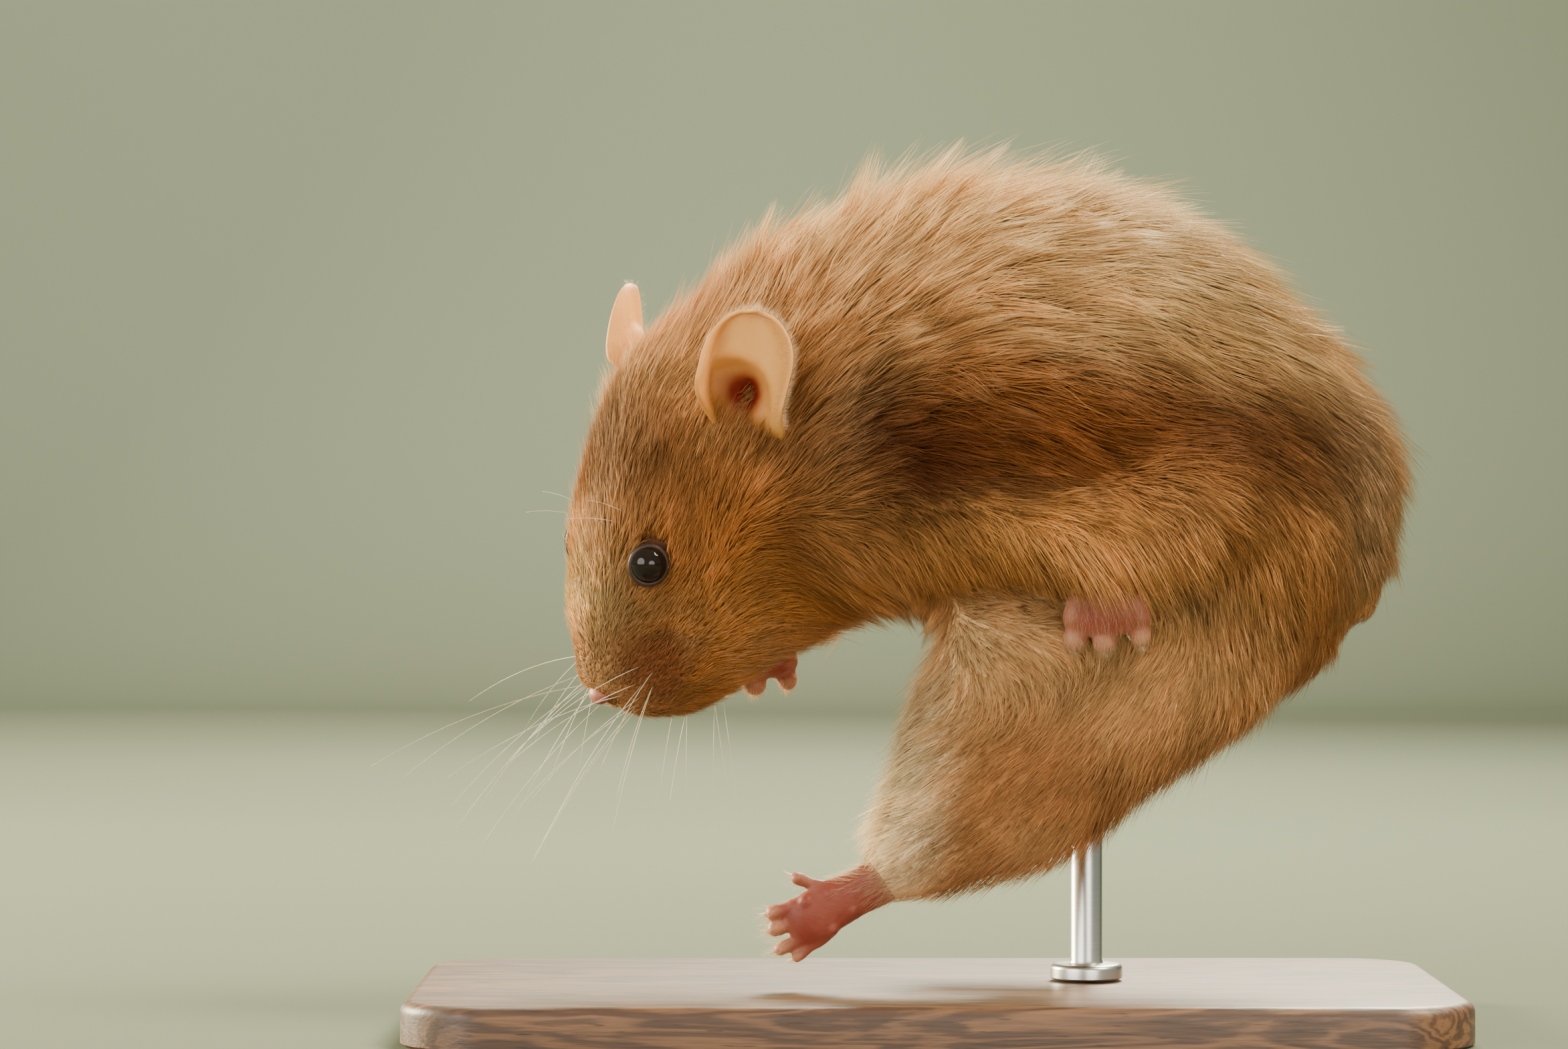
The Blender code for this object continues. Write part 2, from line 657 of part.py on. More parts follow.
def main():
    """Builds the body whole, seats the separate pieces in it, then parts it with thin cuts."""
    for obj in list(bpy.data.objects):
        bpy.data.objects.remove(obj)
    collection = bpy.data.collections.new("syrian hamster")
    bpy.context.scene.collection.children.link(collection)

    body = whole_body(collection)
    for name, place in PAW_PLACES.items():
        paw(name, place, collection)
        cuff, half_width = place[0]["cuff"]
        cuff -= GAP / MM / 2
        room = box_of((cuff, -half_width, -3.4), (cuff + 18, half_width, 3.4), paw_matrix(place))
        cut(body, room, "DIFFERENCE")
    for name, place in EARS.items():
        cut(body, swollen(ear(name, place, collection), GAP), "DIFFERENCE")
    for name, side in (("eye_left", 1), ("eye_right", -1)):
        forward, left, up = EYE_SEAT
        seat = head_point(forward, side * left, up)
        ball(name, seat, (EYE_RADIUS,) * 3, None, 12, collection)
        cut(body, ball("cutter", seat, (EYE_RADIUS + GAP,) * 3, None, 12, cutters()), "DIFFERENCE")
    nose_seat = head_point(*NOSE_SEAT)
    ball("nose", nose_seat, [r * MM for r in NOSE_RADII], head_axes(), 10, collection)
    socket = [r * MM + GAP for r in NOSE_RADII]
    cut(body, ball("cutter", nose_seat, socket, head_axes(), 10, cutters()), "DIFFERENCE")
    cut(body, swollen(stand(collection), GAP), "DIFFERENCE")

    for name, points in regions().items():
        parted(body, name, points, collection)
    body.name = "abdomen"
    body.data.name = "abdomen"
    tidied(body)

    bpy.data.collections.remove(cutters())
    root = bpy.data.objects.new("syrian_hamster", None)
    collection.objects.link(root)
    for obj in [found for found in collection.objects if found.type == "MESH"]:
        paint(obj)
        hang(obj, root)


if __name__ == "__main__":
    main()
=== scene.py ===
"""Looks of a life-size Syrian hamster on its display stand.

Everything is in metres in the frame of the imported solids: +Z is up, the head lies towards -X and the
animal's left side faces -Y. Lengths in the classes below are in millimetres where their names say mm.
"""

import logging
import math
from dataclasses import dataclass, field, replace
from enum import Enum

import bpy
import numpy as np
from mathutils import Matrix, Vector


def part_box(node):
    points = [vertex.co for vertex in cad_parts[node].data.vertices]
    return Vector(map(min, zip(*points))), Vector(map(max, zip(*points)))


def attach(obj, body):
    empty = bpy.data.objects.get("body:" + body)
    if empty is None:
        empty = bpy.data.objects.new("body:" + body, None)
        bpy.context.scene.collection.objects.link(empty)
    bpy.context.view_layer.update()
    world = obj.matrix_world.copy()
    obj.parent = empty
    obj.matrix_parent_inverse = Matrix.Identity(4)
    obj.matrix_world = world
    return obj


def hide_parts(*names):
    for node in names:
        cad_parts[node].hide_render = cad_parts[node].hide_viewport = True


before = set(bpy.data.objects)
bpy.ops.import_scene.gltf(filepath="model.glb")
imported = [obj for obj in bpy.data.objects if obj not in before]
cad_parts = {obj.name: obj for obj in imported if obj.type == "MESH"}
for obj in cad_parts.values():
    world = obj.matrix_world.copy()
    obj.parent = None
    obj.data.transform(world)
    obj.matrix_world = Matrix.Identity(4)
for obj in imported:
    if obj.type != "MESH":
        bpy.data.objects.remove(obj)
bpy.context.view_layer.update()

MM = 0.001
log = logging.getLogger("hamster")

Array = np.ndarray
Random = np.random.Generator
Socket = bpy.types.NodeSocket
Material = bpy.types.Material
Object = bpy.types.Object
Nodes = bpy.types.NodeTree
LEGS = ("shank_left", "shank_right", "foreleg_left", "foreleg_right")
FLESH = ("head", "neck", "chest", "abdomen", "rump", "tail", "thigh_left", "thigh_right", *LEGS)
PAWS = ("forepaw_left", "forepaw_right", "hindfoot_left", "hindfoot_right")

READ_GRAIN = 1e-6  # metres: how near two vertices of a solid in the same place are
BLOCK, SKIN_BLOCK = 4000, 2000  # tufts, and skin vertices, compared with others at a time
FLANK_Y = 14  # mm: how far off the middle the roll of a flank starts
FAR = 1000.0  # mm: farther than any part of the animal
FACE_BACK = -17.0  # mm ahead of the nose: where the coat of the face ends
ANYWHERE = (-FAR, FAR)


# ---- whole-array geometry


def unit(vectors: Array) -> Array:
    """Scales each vector, along the last axis, to length one."""
    return vectors / np.maximum(np.linalg.norm(vectors, axis=-1, keepdims=True), 1e-12)


def ramp(low: float, high: float, values: Array) -> Array:
    """An S-shaped rise from 0 at low to 1 at high."""
    t = np.clip((values - low) / (high - low), 0, 1)
    return t * t * (3 - 2 * t)


def middle(node: str) -> Array:
    """The middle of a CAD node's box."""
    low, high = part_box(node)
    return (np.array(low) + np.array(high)) / 2


def edges_of(tris: Array) -> Array:
    """Each edge of a triangle mesh once."""
    pairs = np.concatenate([tris[:, [0, 1]], tris[:, [1, 2]], tris[:, [2, 0]]])
    return np.unique(np.sort(pairs, axis=1), axis=0)


def diffused(values: Array, tris: Array, rounds: int, share: float = 0.5) -> Array:
    """Moves each vertex's values towards the mean of its neighbours', round after round.

    Args:
        values: One row per vertex.
        tris: The triangles that say which vertices are neighbours.
        rounds: How many times.
        share: How far towards the mean each round goes.

    Returns:
        The smoothed values.
    """
    a, b = edges_of(tris).T
    count = np.bincount(a, minlength=len(values)) + np.bincount(b, minlength=len(values))
    count = np.maximum(count, 1)[:, None]
    values = values.copy()
    for _ in range(rounds):
        total = np.empty_like(values)
        for axis in range(values.shape[1]):
            there, here = values[b, axis], values[a, axis]
            total[:, axis] = np.bincount(a, there, len(values)) + np.bincount(b, here, len(values))
        values += share * (total / count - values)
    return values


@dataclass
class Surface:
    """A triangle mesh held as whole arrays: a row per vertex and a row per triangle."""

    verts: Array
    tris: Array

    @classmethod
    def from_grid(cls, points: Array, wrap: bool = False) -> "Surface":
        """Makes a surface from a grid of points, each cell two triangles.

        Args:
            points: Rows by columns by 3; seen from outside, rows run down and columns anticlockwise.
            wrap: Whether the last column joins the first.
        """
        rows, columns = points.shape[:2]
        index = np.arange(rows * columns).reshape(rows, columns)
        ahead = np.roll(index, -1, axis=1)
        if not wrap:
            index, ahead = index[:, :-1], ahead[:, :-1]
        a, b, c, d = (part.ravel() for part in (index[:-1], index[1:], ahead[1:], ahead[:-1]))
        tris = np.concatenate([np.stack([a, b, c], 1), np.stack([a, c, d], 1)])
        return cls(points.reshape(-1, 3), tris)

    @classmethod
    def of_object(cls, obj: Object) -> "Surface":
        """Reads an object's mesh with its modifiers applied, and merges vertices in the same place.

        Args:
            obj: The object.

        Returns:
            Its surface.
        """
        graph = bpy.context.evaluated_depsgraph_get()
        mesh = obj.evaluated_get(graph).to_mesh()
        mesh.calc_loop_triangles()
        verts = np.empty(len(mesh.vertices) * 3, np.float32)
        mesh.vertices.foreach_get("co", verts)
        tris = np.empty(len(mesh.loop_triangles) * 3, np.int32)
        mesh.loop_triangles.foreach_get("vertices", tris)
        return merging(cls(verts.reshape(-1, 3), tris.reshape(-1, 3)), READ_GRAIN)[0]

    @classmethod
    def joined(cls, parts: list["Surface"]) -> "Surface":
        """Puts several surfaces side by side in one mesh."""
        starts = np.cumsum([0] + [len(part.verts) for part in parts[:-1]])
        tris = np.concatenate([part.tris + start for part, start in zip(parts, starts)])
        return cls(np.concatenate([part.verts for part in parts]), tris)

    def normals(self) -> Array:
        """Area-weighted normals: each triangle's cross product is added to its three corners."""
        a, b, c = (self.verts[self.tris[:, k]] for k in range(3))
        crossed = np.cross(b - a, c - a)
        total = np.zeros_like(self.verts)
        for axis in range(3):
            for k in range(3):
                total[:, axis] += np.bincount(self.tris[:, k], crossed[:, axis], len(total))
        return unit(total)

    def smoothed(self, rounds: int, share: float = 0.5) -> "Surface":
        """The same mesh with its bumps evened out."""
        return Surface(diffused(self.verts, self.tris, rounds, share), self.tris)

    def to_object(self, name: str) -> Object:
        """Makes a smooth-shaded Blender object, at the origin, from the arrays.

        Args:
            name: The object's name.

        Returns:
            The object, in the scene.
        """
        mesh = bpy.data.meshes.new(name)
        mesh.vertices.add(len(self.verts))
        mesh.vertices.foreach_set("co", self.verts.astype(np.float32).ravel())
        mesh.loops.add(self.tris.size)
        mesh.loops.foreach_set("vertex_index", self.tris.astype(np.int32).ravel())
        mesh.polygons.add(len(self.tris))
        mesh.polygons.foreach_set("loop_start", np.arange(0, self.tris.size, 3, dtype=np.int32))
        mesh.update(calc_edges=True)
        mesh.shade_smooth()
        obj = bpy.data.objects.new(name, mesh)
        bpy.context.scene.collection.objects.link(obj)
        return obj

    def remeshed(self, voxel: float) -> "Surface":
        """One even skin round all the parts, made by Blender's voxel remesher.

        Args:
            voxel: The size of its cells in metres.

        Returns:
            The skin.
        """
        obj = self.to_object("working")
        even = obj.modifiers.new("even", "REMESH")
        even.mode = "VOXEL"
        even.voxel_size = voxel
        result = Surface.of_object(obj)
        mesh = obj.data
        bpy.data.objects.remove(obj)
        bpy.data.meshes.remove(mesh)
        return result


def merging(surface: Surface, grain: float = 1e-7) -> tuple[Surface, Array]:
    """Merges vertices that lie in the same place and drops the triangles that this flattens.

    Args:
        surface: The surface.
        grain: How near two vertices in the same place are, in metres.

    Returns:
        The closed surface, and the old number of each vertex kept.
    """
    keys = np.round(surface.verts / grain).astype(np.int64)
    _, first, index = np.unique(keys, axis=0, return_index=True, return_inverse=True)
    tris = index.ravel()[surface.tris]
    sound = (tris[:, 0] != tris[:, 1]) & (tris[:, 1] != tris[:, 2]) & (tris[:, 2] != tris[:, 0])
    return Surface(surface.verts[first].astype(float), tris[sound]), first


def closed_grid(points: Array) -> Surface:
    """A surface from a grid whose columns wrap round, with its poles and seams closed."""
    return merging(Surface.from_grid(points, wrap=True))[0]


def tube(path: Array, radii: Array, sides: int, flat: float = 1.0) -> Surface:
    """Carries a circle along a path, with both ends closed by a point.

    Formula: ring k is path[k] + radii[k] * (cos(a) * across + flat * sin(a) * over), where across and over
    stand square to the path.

    Args:
        path: The centre line's points.
        radii: The radius at each point.
        sides: Points in a ring.
        flat: Height of the ring as a share of its width.

    Returns:
        A closed surface facing out.
    """
    heading = unit(np.gradient(path, axis=0))
    reference = np.array([0.0, 0.0, 1.0] if abs(heading[:, 2]).mean() < 0.8 else [0.0, 1.0, 0.0])
    across = unit(np.cross(reference, heading))
    over = np.cross(heading, across)
    angle = np.linspace(0, 2 * np.pi, sides, endpoint=False)
    cosine, sine = (turn[None, :, None] for turn in (np.cos(angle), np.sin(angle)))
    ring = cosine * across[:, None] + flat * sine * over[:, None]
    points = path[:, None] + radii[:, None, None] * ring
    caps = np.repeat(path[[0, -1]][:, None], sides, axis=1)
    points = np.concatenate([caps[:1], points, caps[1:]])
    return closed_grid(points[::-1])


def ellipsoid(centre: Array, axes: Array, radii: Array, steps: int = 20) -> Surface:
    """A sphere stretched along three axes: latitude and longitude run over an even grid.

    Args:
        centre: Its middle.
        axes: Three unit vectors, one a row.
        radii: The radius along each.
        steps: Rings from pole to pole.

    Returns:
        A closed surface.
    """
    down = np.linspace(0, np.pi, steps + 1)[:, None]
    around = np.linspace(0, 2 * np.pi, 2 * steps, endpoint=False)[None]
    x, y = np.sin(down) * np.cos(around), np.sin(down) * np.sin(around)
    ball = np.stack([x, y, np.cos(down) * np.ones_like(around)], -1)
    return closed_grid(centre + (ball * radii) @ axes)


# ---- places on the animal


@dataclass(frozen=True)
class HeadAxes:
    """The head's own axes, worked out from the eyes and the nose in the frame."""

    eye_left: Array
    eye_right: Array
    nose: Array
    brow_slope: float = 0.154

    @property
    def left(self) -> Array:
        """Towards the animal's left."""
        return unit(self.eye_left - self.eye_right)

    @property
    def forward(self) -> Array:
        """Along the skull, towards the nose."""
        face = self.nose - (self.eye_left + self.eye_right) / 2
        face = unit(face - (face @ self.left) * self.left)
        return unit(face + self.brow_slope * np.cross(face, self.left))

    @property
    def up(self) -> Array:
        """Out of the top of the head."""
        return np.cross(self.forward, self.left)

    def place(self, forward: float, left: float, up: float) -> Array:
        """The point that many millimetres from the nose along each axis."""
        return self.nose + MM * self.turn(forward, left, up)

    def turn(self, forward: float, left: float, up: float) -> Array:
        """The direction, or offset, with these parts along the head's axes."""
        return forward * self.forward + left * self.left + up * self.up


HEAD = HeadAxes(middle("eye_left"), middle("eye_right"), middle("nose"))
EYES = (HEAD.eye_left, HEAD.eye_right)
EYE_RADIUS = (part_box("eye_left")[1].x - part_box("eye_left")[0].x) / 2


@dataclass(frozen=True)
class Guide:
    """How the coat lies at one place: its direction, and its sizes in millimetres."""

    place: Array
    flow: Array
    length: float
    depth: float
    density: float
    width: float
    reach: float = 12.0


# Rows of (place, direction, length, depth, tufts per square millimetre, tuft width), from the nose back.
# A row off the animal's middle stands for its mirror image too, apart from those of the legs.
HEAD_ROWS = (
    # the short hair runs up the bridge and fans over the cheeks
    ((-2, 0, 2), (-1, 0, 0.1), 1.6, 0.55, 7.0, 0.16),
    ((-10, 0, 6), (-1, 0, 0.2), 3.2, 1.1, 6.5, 0.19),
    ((-20, 0, 10), (-1, 0, 0.2), 5.0, 1.7, 6.0, 0.20),
    ((-33, 0, 11), (-1, 0, 0), 7.0, 2.6, 5.0, 0.21),
    ((-4, 6, -3), (-0.8, 0.5, -0.2), 2.0, 0.7, 7.5, 0.16),
    ((-12, 9, -4), (-0.95, 0.3, -0.15), 3.6, 1.2, 6.5, 0.19),
    ((-15, 12, -10), (-0.9, 0.2, -0.4), 5.0, 1.7, 6.0, 0.20),
    ((-23, 14, -13), (-0.9, 0.1, -0.5), 7.5, 2.8, 5.0, 0.21),
    ((-25, 12, -1), (-1, 0.1, -0.1), 5.4, 1.8, 6.0, 0.20),
    ((-35, 14, -8), (-0.8, 0.1, -0.6), 9.0, 3.4, 4.4, 0.21),
    ((-33, 11, 6), (-1, 0.2, 0.1), 6.0, 2.4, 5.5, 0.20),
    ((-36, 7, 10), (-1, 0.1, 0), 6.0, 2.0, 6.0, 0.20),
    ((-36, 17, -1), (-1, 0.25, 0.15), 5.5, 2.0, 5.6, 0.19),
    ((-28, 7, -18), (-0.8, 0.1, -0.7), 8.5, 4.4, 4.6, 0.20),
    ((-7, 0, -12), (-0.9, 0, -0.4), 2.8, 1.0, 7.0, 0.17),
    ((-20, 0, -17), (-0.9, 0, -0.4), 6.5, 3.4, 5.0, 0.20),
)
BACK_ROWS = (
    # nape, withers and back: long, standing proud over the shoulders
    ((-27, 0, 103), (0.70, 0, 0.72), 12.0, 5.5, 3.6, 0.22),
    ((-14, 0, 115), (0.80, 0, 0.6), 17.0, 7.5, 3.0, 0.26),
    ((0, 0, 118), (1, 0, 0.05), 17.0, 6.0, 3.0, 0.26),
    ((15, 0, 118), (1, 0, -0.1), 16.0, 5.5, 3.0, 0.26),
    ((30, 0, 115), (0.9, 0, -0.4), 14.0, 5.0, 3.2, 0.25),
    ((45, 0, 105), (0.7, 0, -0.7), 12.0, 4.5, 3.4, 0.24),
    ((60, 0, 88), (0.35, 0, -0.95), 11.0, 4.5, 3.6, 0.23),
    ((65, 0, 72), (0, 0, -1), 8.0, 3.0, 4.5, 0.20),
    ((-22, 19, 92), (0.84, 0.1, 0.52), 13.0, 5.0, 3.6, 0.22),
    ((-8, 23, 103), (0.92, 0.05, 0.38), 15.0, 6.0, 3.2, 0.25),
    ((14, 25, 103), (0.98, 0, -0.2), 15.0, 5.0, 3.2, 0.25),
    ((36, 22, 98), (0.85, 0, -0.5), 13.0, 4.5, 3.4, 0.24),
    ((-16, 20, 78), (0.88, 0.1, 0.42), 10.0, 3.8, 4.4, 0.20),
    ((5, 27, 82), (0.99, 0, -0.1), 11.0, 4.0, 3.8, 0.21),
    ((28, 27, 82), (0.95, 0, -0.3), 11.0, 4.0, 3.8, 0.21),
    ((50, 20, 80), (0.65, 0, -0.75), 10.0, 3.8, 4.0, 0.21),
    ((58, 12, 70), (0.2, 0, -0.98), 8.0, 3.2, 4.5, 0.20),
)
EDGE_ROWS = tuple(
    # along each flank's lower edge, pointing down more and more
    ((x, 26, z), (0.85, -0.12, 0.75 * down), 8.5, 4.0, 5.0, 0.17)
    for x, z, down in (
        (-4, 68.5, -0.7), (5, 68.5, -0.8), (13, 67.5, -0.85), (21, 67.5, -0.9), (28, 70, -0.95),
    )
)
UNDER_ROWS = (
    # underside and the hips
    ((-14, 14, 60), (0.85, 0.1, -0.5), 8.0, 3.6, 5.2, 0.17),
    ((10, 20, 57), (0.8, 0, -0.6), 5.5, 2.0, 5.6, 0.16),
    ((-4, 0, 54), (1, 0, -0.1), 7.0, 3.6, 5.2, 0.17),
    ((16, 0, 48), (1, 0, 0), 7.0, 3.4, 5.0, 0.18),
    ((56, 0, 52), (-0.4, 0, -0.9), 5.0, 2.2, 5.5, 0.16),
    ((42, 24, 60), (0.1, 0, -1), 7.5, 3.2, 5.2, 0.17),
)
LEG_ROWS = (
    # hind legs
    ((28, -23, 48), (-0.65, 0, -0.75), 6.0, 2.2, 5.8, 0.16),
    ((14, -22, 38), (-0.75, 0, -0.66), 5.2, 1.8, 6.2, 0.15),
    ((4, -19, 29), (-0.8, 0, -0.6), 4.4, 1.4, 6.6, 0.14),
    ((-6, -14, 21), (-0.9, 0, -0.45), 2.6, 0.7, 8.0, 0.12),
    ((-7, -13, 34), (-0.95, 0, -0.3), 7.5, 3.2, 6.0, 0.16),
    ((-3, -13, 46), (-0.85, 0, -0.5), 7.0, 3.0, 5.5, 0.16),
    ((32, -13, 28), (-0.3, 0, -0.95), 7.0, 3.0, 5.6, 0.17),
    ((12, -13, 18), (-0.7, 0, -0.7), 5.5, 2.2, 6.2, 0.15),
    ((26, 22, 50), (-0.3, 0, -0.95), 6.0, 2.0, 5.8, 0.16),
    ((18, 20, 40), (-0.1, 0, -1), 4.5, 1.5, 6.4, 0.15),
    ((16, 15, 31), (0, 0, -1), 2.6, 0.7, 8.0, 0.12),
    # forelegs and tail
    ((6, -26, 70), (0.97, 0, -0.25), 8.0, 2.4, 5.2, 0.17),
    ((17, -27, 66), (0.95, 0, -0.3), 5.5, 1.6, 6.2, 0.15),
    ((24, -28, 61), (0.3, 0, -0.95), 2.0, 0.6, 8.0, 0.11),
    ((-10, 20, 68), (-0.3, 0.1, -0.95), 5.0, 1.8, 6.0, 0.16),
    ((-15, 20, 58), (-0.4, 0.1, -0.9), 3.4, 1.1, 7.0, 0.14),
    ((-22, 20, 52), (-0.4, 0.1, -0.9), 1.8, 0.5, 8.0, 0.11),
    ((61, 0, 60), (0.1, 0, -1), 2.6, 0.7, 7.0, 0.13),
)
HEAD_REACH = 7.0


def guides_from(rows: tuple, on_head: bool = False, mirrored: bool = True) -> list[Guide]:
    """Makes the coat's guides.

    Args:
        rows: The guides' places, directions and sizes.
        on_head: Whether places and directions are in the head's axes, not the frame's.
        mirrored: Whether a row off the middle also gives its mirror image.

    Returns:
        The guides, each followed by its mirror image.
    """
    found = []
    for place, flow, *sizes in rows:
        for side in (1, -1) if mirrored and place[1] else (1,):
            spot, way = ((x, side * y, z) for x, y, z in (place, flow))
            if on_head:
                found.append(Guide(HEAD.place(*spot), HEAD.turn(*way), *sizes, reach=HEAD_REACH))
            else:
                found.append(Guide(np.array(spot) * MM, np.array(way, float), *sizes))
    return found


def lie_of_the_coat() -> list[Guide]:
    """All the guides, from the nose back."""
    found = guides_from(HEAD_ROWS, on_head=True) + guides_from(BACK_ROWS + EDGE_ROWS + UNDER_ROWS)
    return found + guides_from(LEG_ROWS, mirrored=False)


@dataclass
class CoatMap:
    """Reads the guides at any set of points: nearer guides count for more."""

    guides: list[Guide]

    def weights(self, points: Array) -> Array:
        """Each guide's share at each point, from the inverse fourth power of distance over reach."""
        places = np.array([guide.place for guide in self.guides])
        reach = np.array([guide.reach for guide in self.guides]) * MM
        squared = ((points[:, None] - places[None]) ** 2).sum(-1) / reach**2
        shares = 1 / (squared + 0.02) ** 2
        return shares / shares.sum(1, keepdims=True)

    def flow(self, points: Array, normals: Array) -> Array:
        """The lie of the hair, flattened onto the skin."""
        flows = np.array([unit(guide.flow) for guide in self.guides])
        found = self.weights(points) @ flows
        return unit(found - (found * normals).sum(1, keepdims=True) * normals)

    def size(self, points: Array, name: str) -> Array:
        """One of the guides' sizes at each point; lengths come out in metres."""
        scale = 1.0 if name == "density" else MM
        return self.weights(points) @ np.array([getattr(guide, name) for guide in self.guides]) * scale


COAT_MAP = CoatMap(lie_of_the_coat())


# ---- finishes


def linear(red: int, green: int, blue: int) -> tuple[float, float, float]:
    """A display colour, 0 to 255, as the linear values that shaders take."""
    shares = (value / 255 for value in (red, green, blue))
    return tuple(((c + 0.055) / 1.055) ** 2.4 if c > 0.04 else c / 12.92 for c in shares)


class Tree:
    """A node tree with short calls for adding and joining nodes."""

    def __init__(self, tree: Nodes) -> None:
        """Takes over an empty tree."""
        self.tree = tree

    def add(self, kind: str, inputs: dict | None = None, **settings: object) -> bpy.types.Node:
        """Adds a node.

        Args:
            kind: The node's class name without "ShaderNode".
            inputs: Values or sockets by input name or number.
            settings: The node's own properties.

        Returns:
            The node.
        """
        node = self.tree.nodes.new(kind if kind.startswith("Node") else "ShaderNode" + kind)
        for name, value in settings.items():
            setattr(node, name, value)
        for name, value in (inputs or {}).items():
            if isinstance(value, Socket):
                self.link(value, node.inputs[name])
            else:
                node.inputs[name].default_value = value
        return node

    def link(self, value: Socket, target: Socket) -> None:
        """Joins an output to an input."""
        self.tree.links.new(value, target)

    def math(self, operation: str, a: object, b: object = 0.0, clamp: bool = False) -> Socket:
        """A Math node's result."""
        return self.add("Math", {0: a, 1: b}, operation=operation, use_clamp=clamp).outputs[0]

    def vector(self, operation: str, a: object, b: object, output: str = "Vector") -> Socket:
        """A Vector Math node's result."""
        return self.add("VectorMath", {0: a, 1: b}, operation=operation).outputs[output]

    def place(self) -> Socket:
        """The place on the piece, in its own coordinates."""
        return self.add("TexCoord").outputs["Object"]

    def attribute(self, name: str, output: str = "Fac") -> Socket:
        """One of the mesh's own attributes."""
        return self.add("Attribute", attribute_name=name).outputs[output]

    def stretched(self, place: Socket, *scale: float) -> Socket:
        """The place scaled along each axis."""
        return self.add("Mapping", {"Vector": place, "Scale": scale}).outputs[0]

    def spread(self, value: Socket, low: float, high: float) -> Socket:
        """A value from 0 to 1 turned evenly into low to high."""
        return self.add("MapRange", {"Value": value, "To Min": low, "To Max": high}).outputs["Result"]

    def relief(self, shader: bpy.types.Node, height: Socket, strength: float, depth: float) -> None:
        """Joins a bump, its depth in metres, to the shader's normal."""
        bump = self.add("Bump", {"Height": height, "Strength": strength, "Distance": depth})
        self.link(bump.outputs["Normal"], shader.inputs["Normal"])

    def let_through(self, shader: bpy.types.Node, colour: Socket, share: float) -> None:
        """Mixes a share of light that passes through, in the hair's own colour, into the material."""
        glow = self.add("BsdfTranslucent", {"Color": colour})
        both = self.add("MixShader", {0: share, 1: shader.outputs[0], 2: glow.outputs[0]})
        self.link(both.outputs[0], self.tree.nodes["Material Output"].inputs["Surface"])

    def rise(self, value: object, low: float, high: float) -> Socket:
        """0 to 1 in an S as the value goes from low to high."""
        inputs = {"Value": value, "From Min": low, "From Max": high}
        return self.add("MapRange", inputs, interpolation_type="SMOOTHSTEP").outputs["Result"]

    def mix(self, share: object, a: object, b: object, blend: str = "MIX") -> Socket:
        """Two colours mixed by a share.

        Args:
            share: How much of the second colour shows.
            a: The first colour, as a socket or three numbers.
            b: The second.
            blend: The Mix node's way of blending.

        Returns:
            The mixed colour.
        """
        node = self.add("Mix", data_type="RGBA", blend_type=blend)
        for index, value in ((0, share), (6, a), (7, b)):
            if isinstance(value, Socket):
                self.link(value, node.inputs[index])
            else:
                node.inputs[index].default_value = (*value, 1) if index and len(value) == 3 else value
        return node.outputs[2]

    def noise(self, place: object, scale: float, detail: float = 3.0, **more: object) -> Socket:
        """Noise from 0 to 1, its scale in lumps per metre."""
        inputs = {"Vector": place, "Scale": scale, "Detail": detail, **more}
        return self.add("TexNoise", inputs).outputs["Fac"]


def new_group(name: str, inputs: list[tuple], outputs: list[tuple]) -> tuple[Nodes, Tree, dict, dict]:
    """Makes a shader group with named sockets.

    Args:
        name: The group's name.
        inputs: (name, socket class, default or None) rows.
        outputs: (name, socket class) rows.

    Returns:
        The group, a Tree on it, its input sockets by name and its output sockets by name.
    """
    group = bpy.data.node_groups.new(name, "ShaderNodeTree")
    for label, kind, default in inputs:
        socket = group.interface.new_socket(label, in_out="INPUT", socket_type=kind)
        if default is not None:
            socket.default_value = default
    for label, kind in outputs:
        group.interface.new_socket(label, in_out="OUTPUT", socket_type=kind)
    tree = Tree(group)
    entry = tree.add("NodeGroupInput")
    leave = tree.add("NodeGroupOutput")
    return group, tree, {s.name: s for s in entry.outputs}, {s.name: s for s in leave.inputs}


@dataclass(frozen=True)
class Patch:
    """A marking: a soft-edged ellipsoid of one display colour, in millimetres."""

    colour: tuple
    centre: tuple
    radii: tuple
    strength: float = 1.0


def both_sides(*patches: Patch) -> tuple:
    """The patches, then their mirror images across the animal's middle."""
    turned = (replace(p, centre=(p.centre[0], -p.centre[1], p.centre[2])) for p in patches)
    return (*patches, *turned)


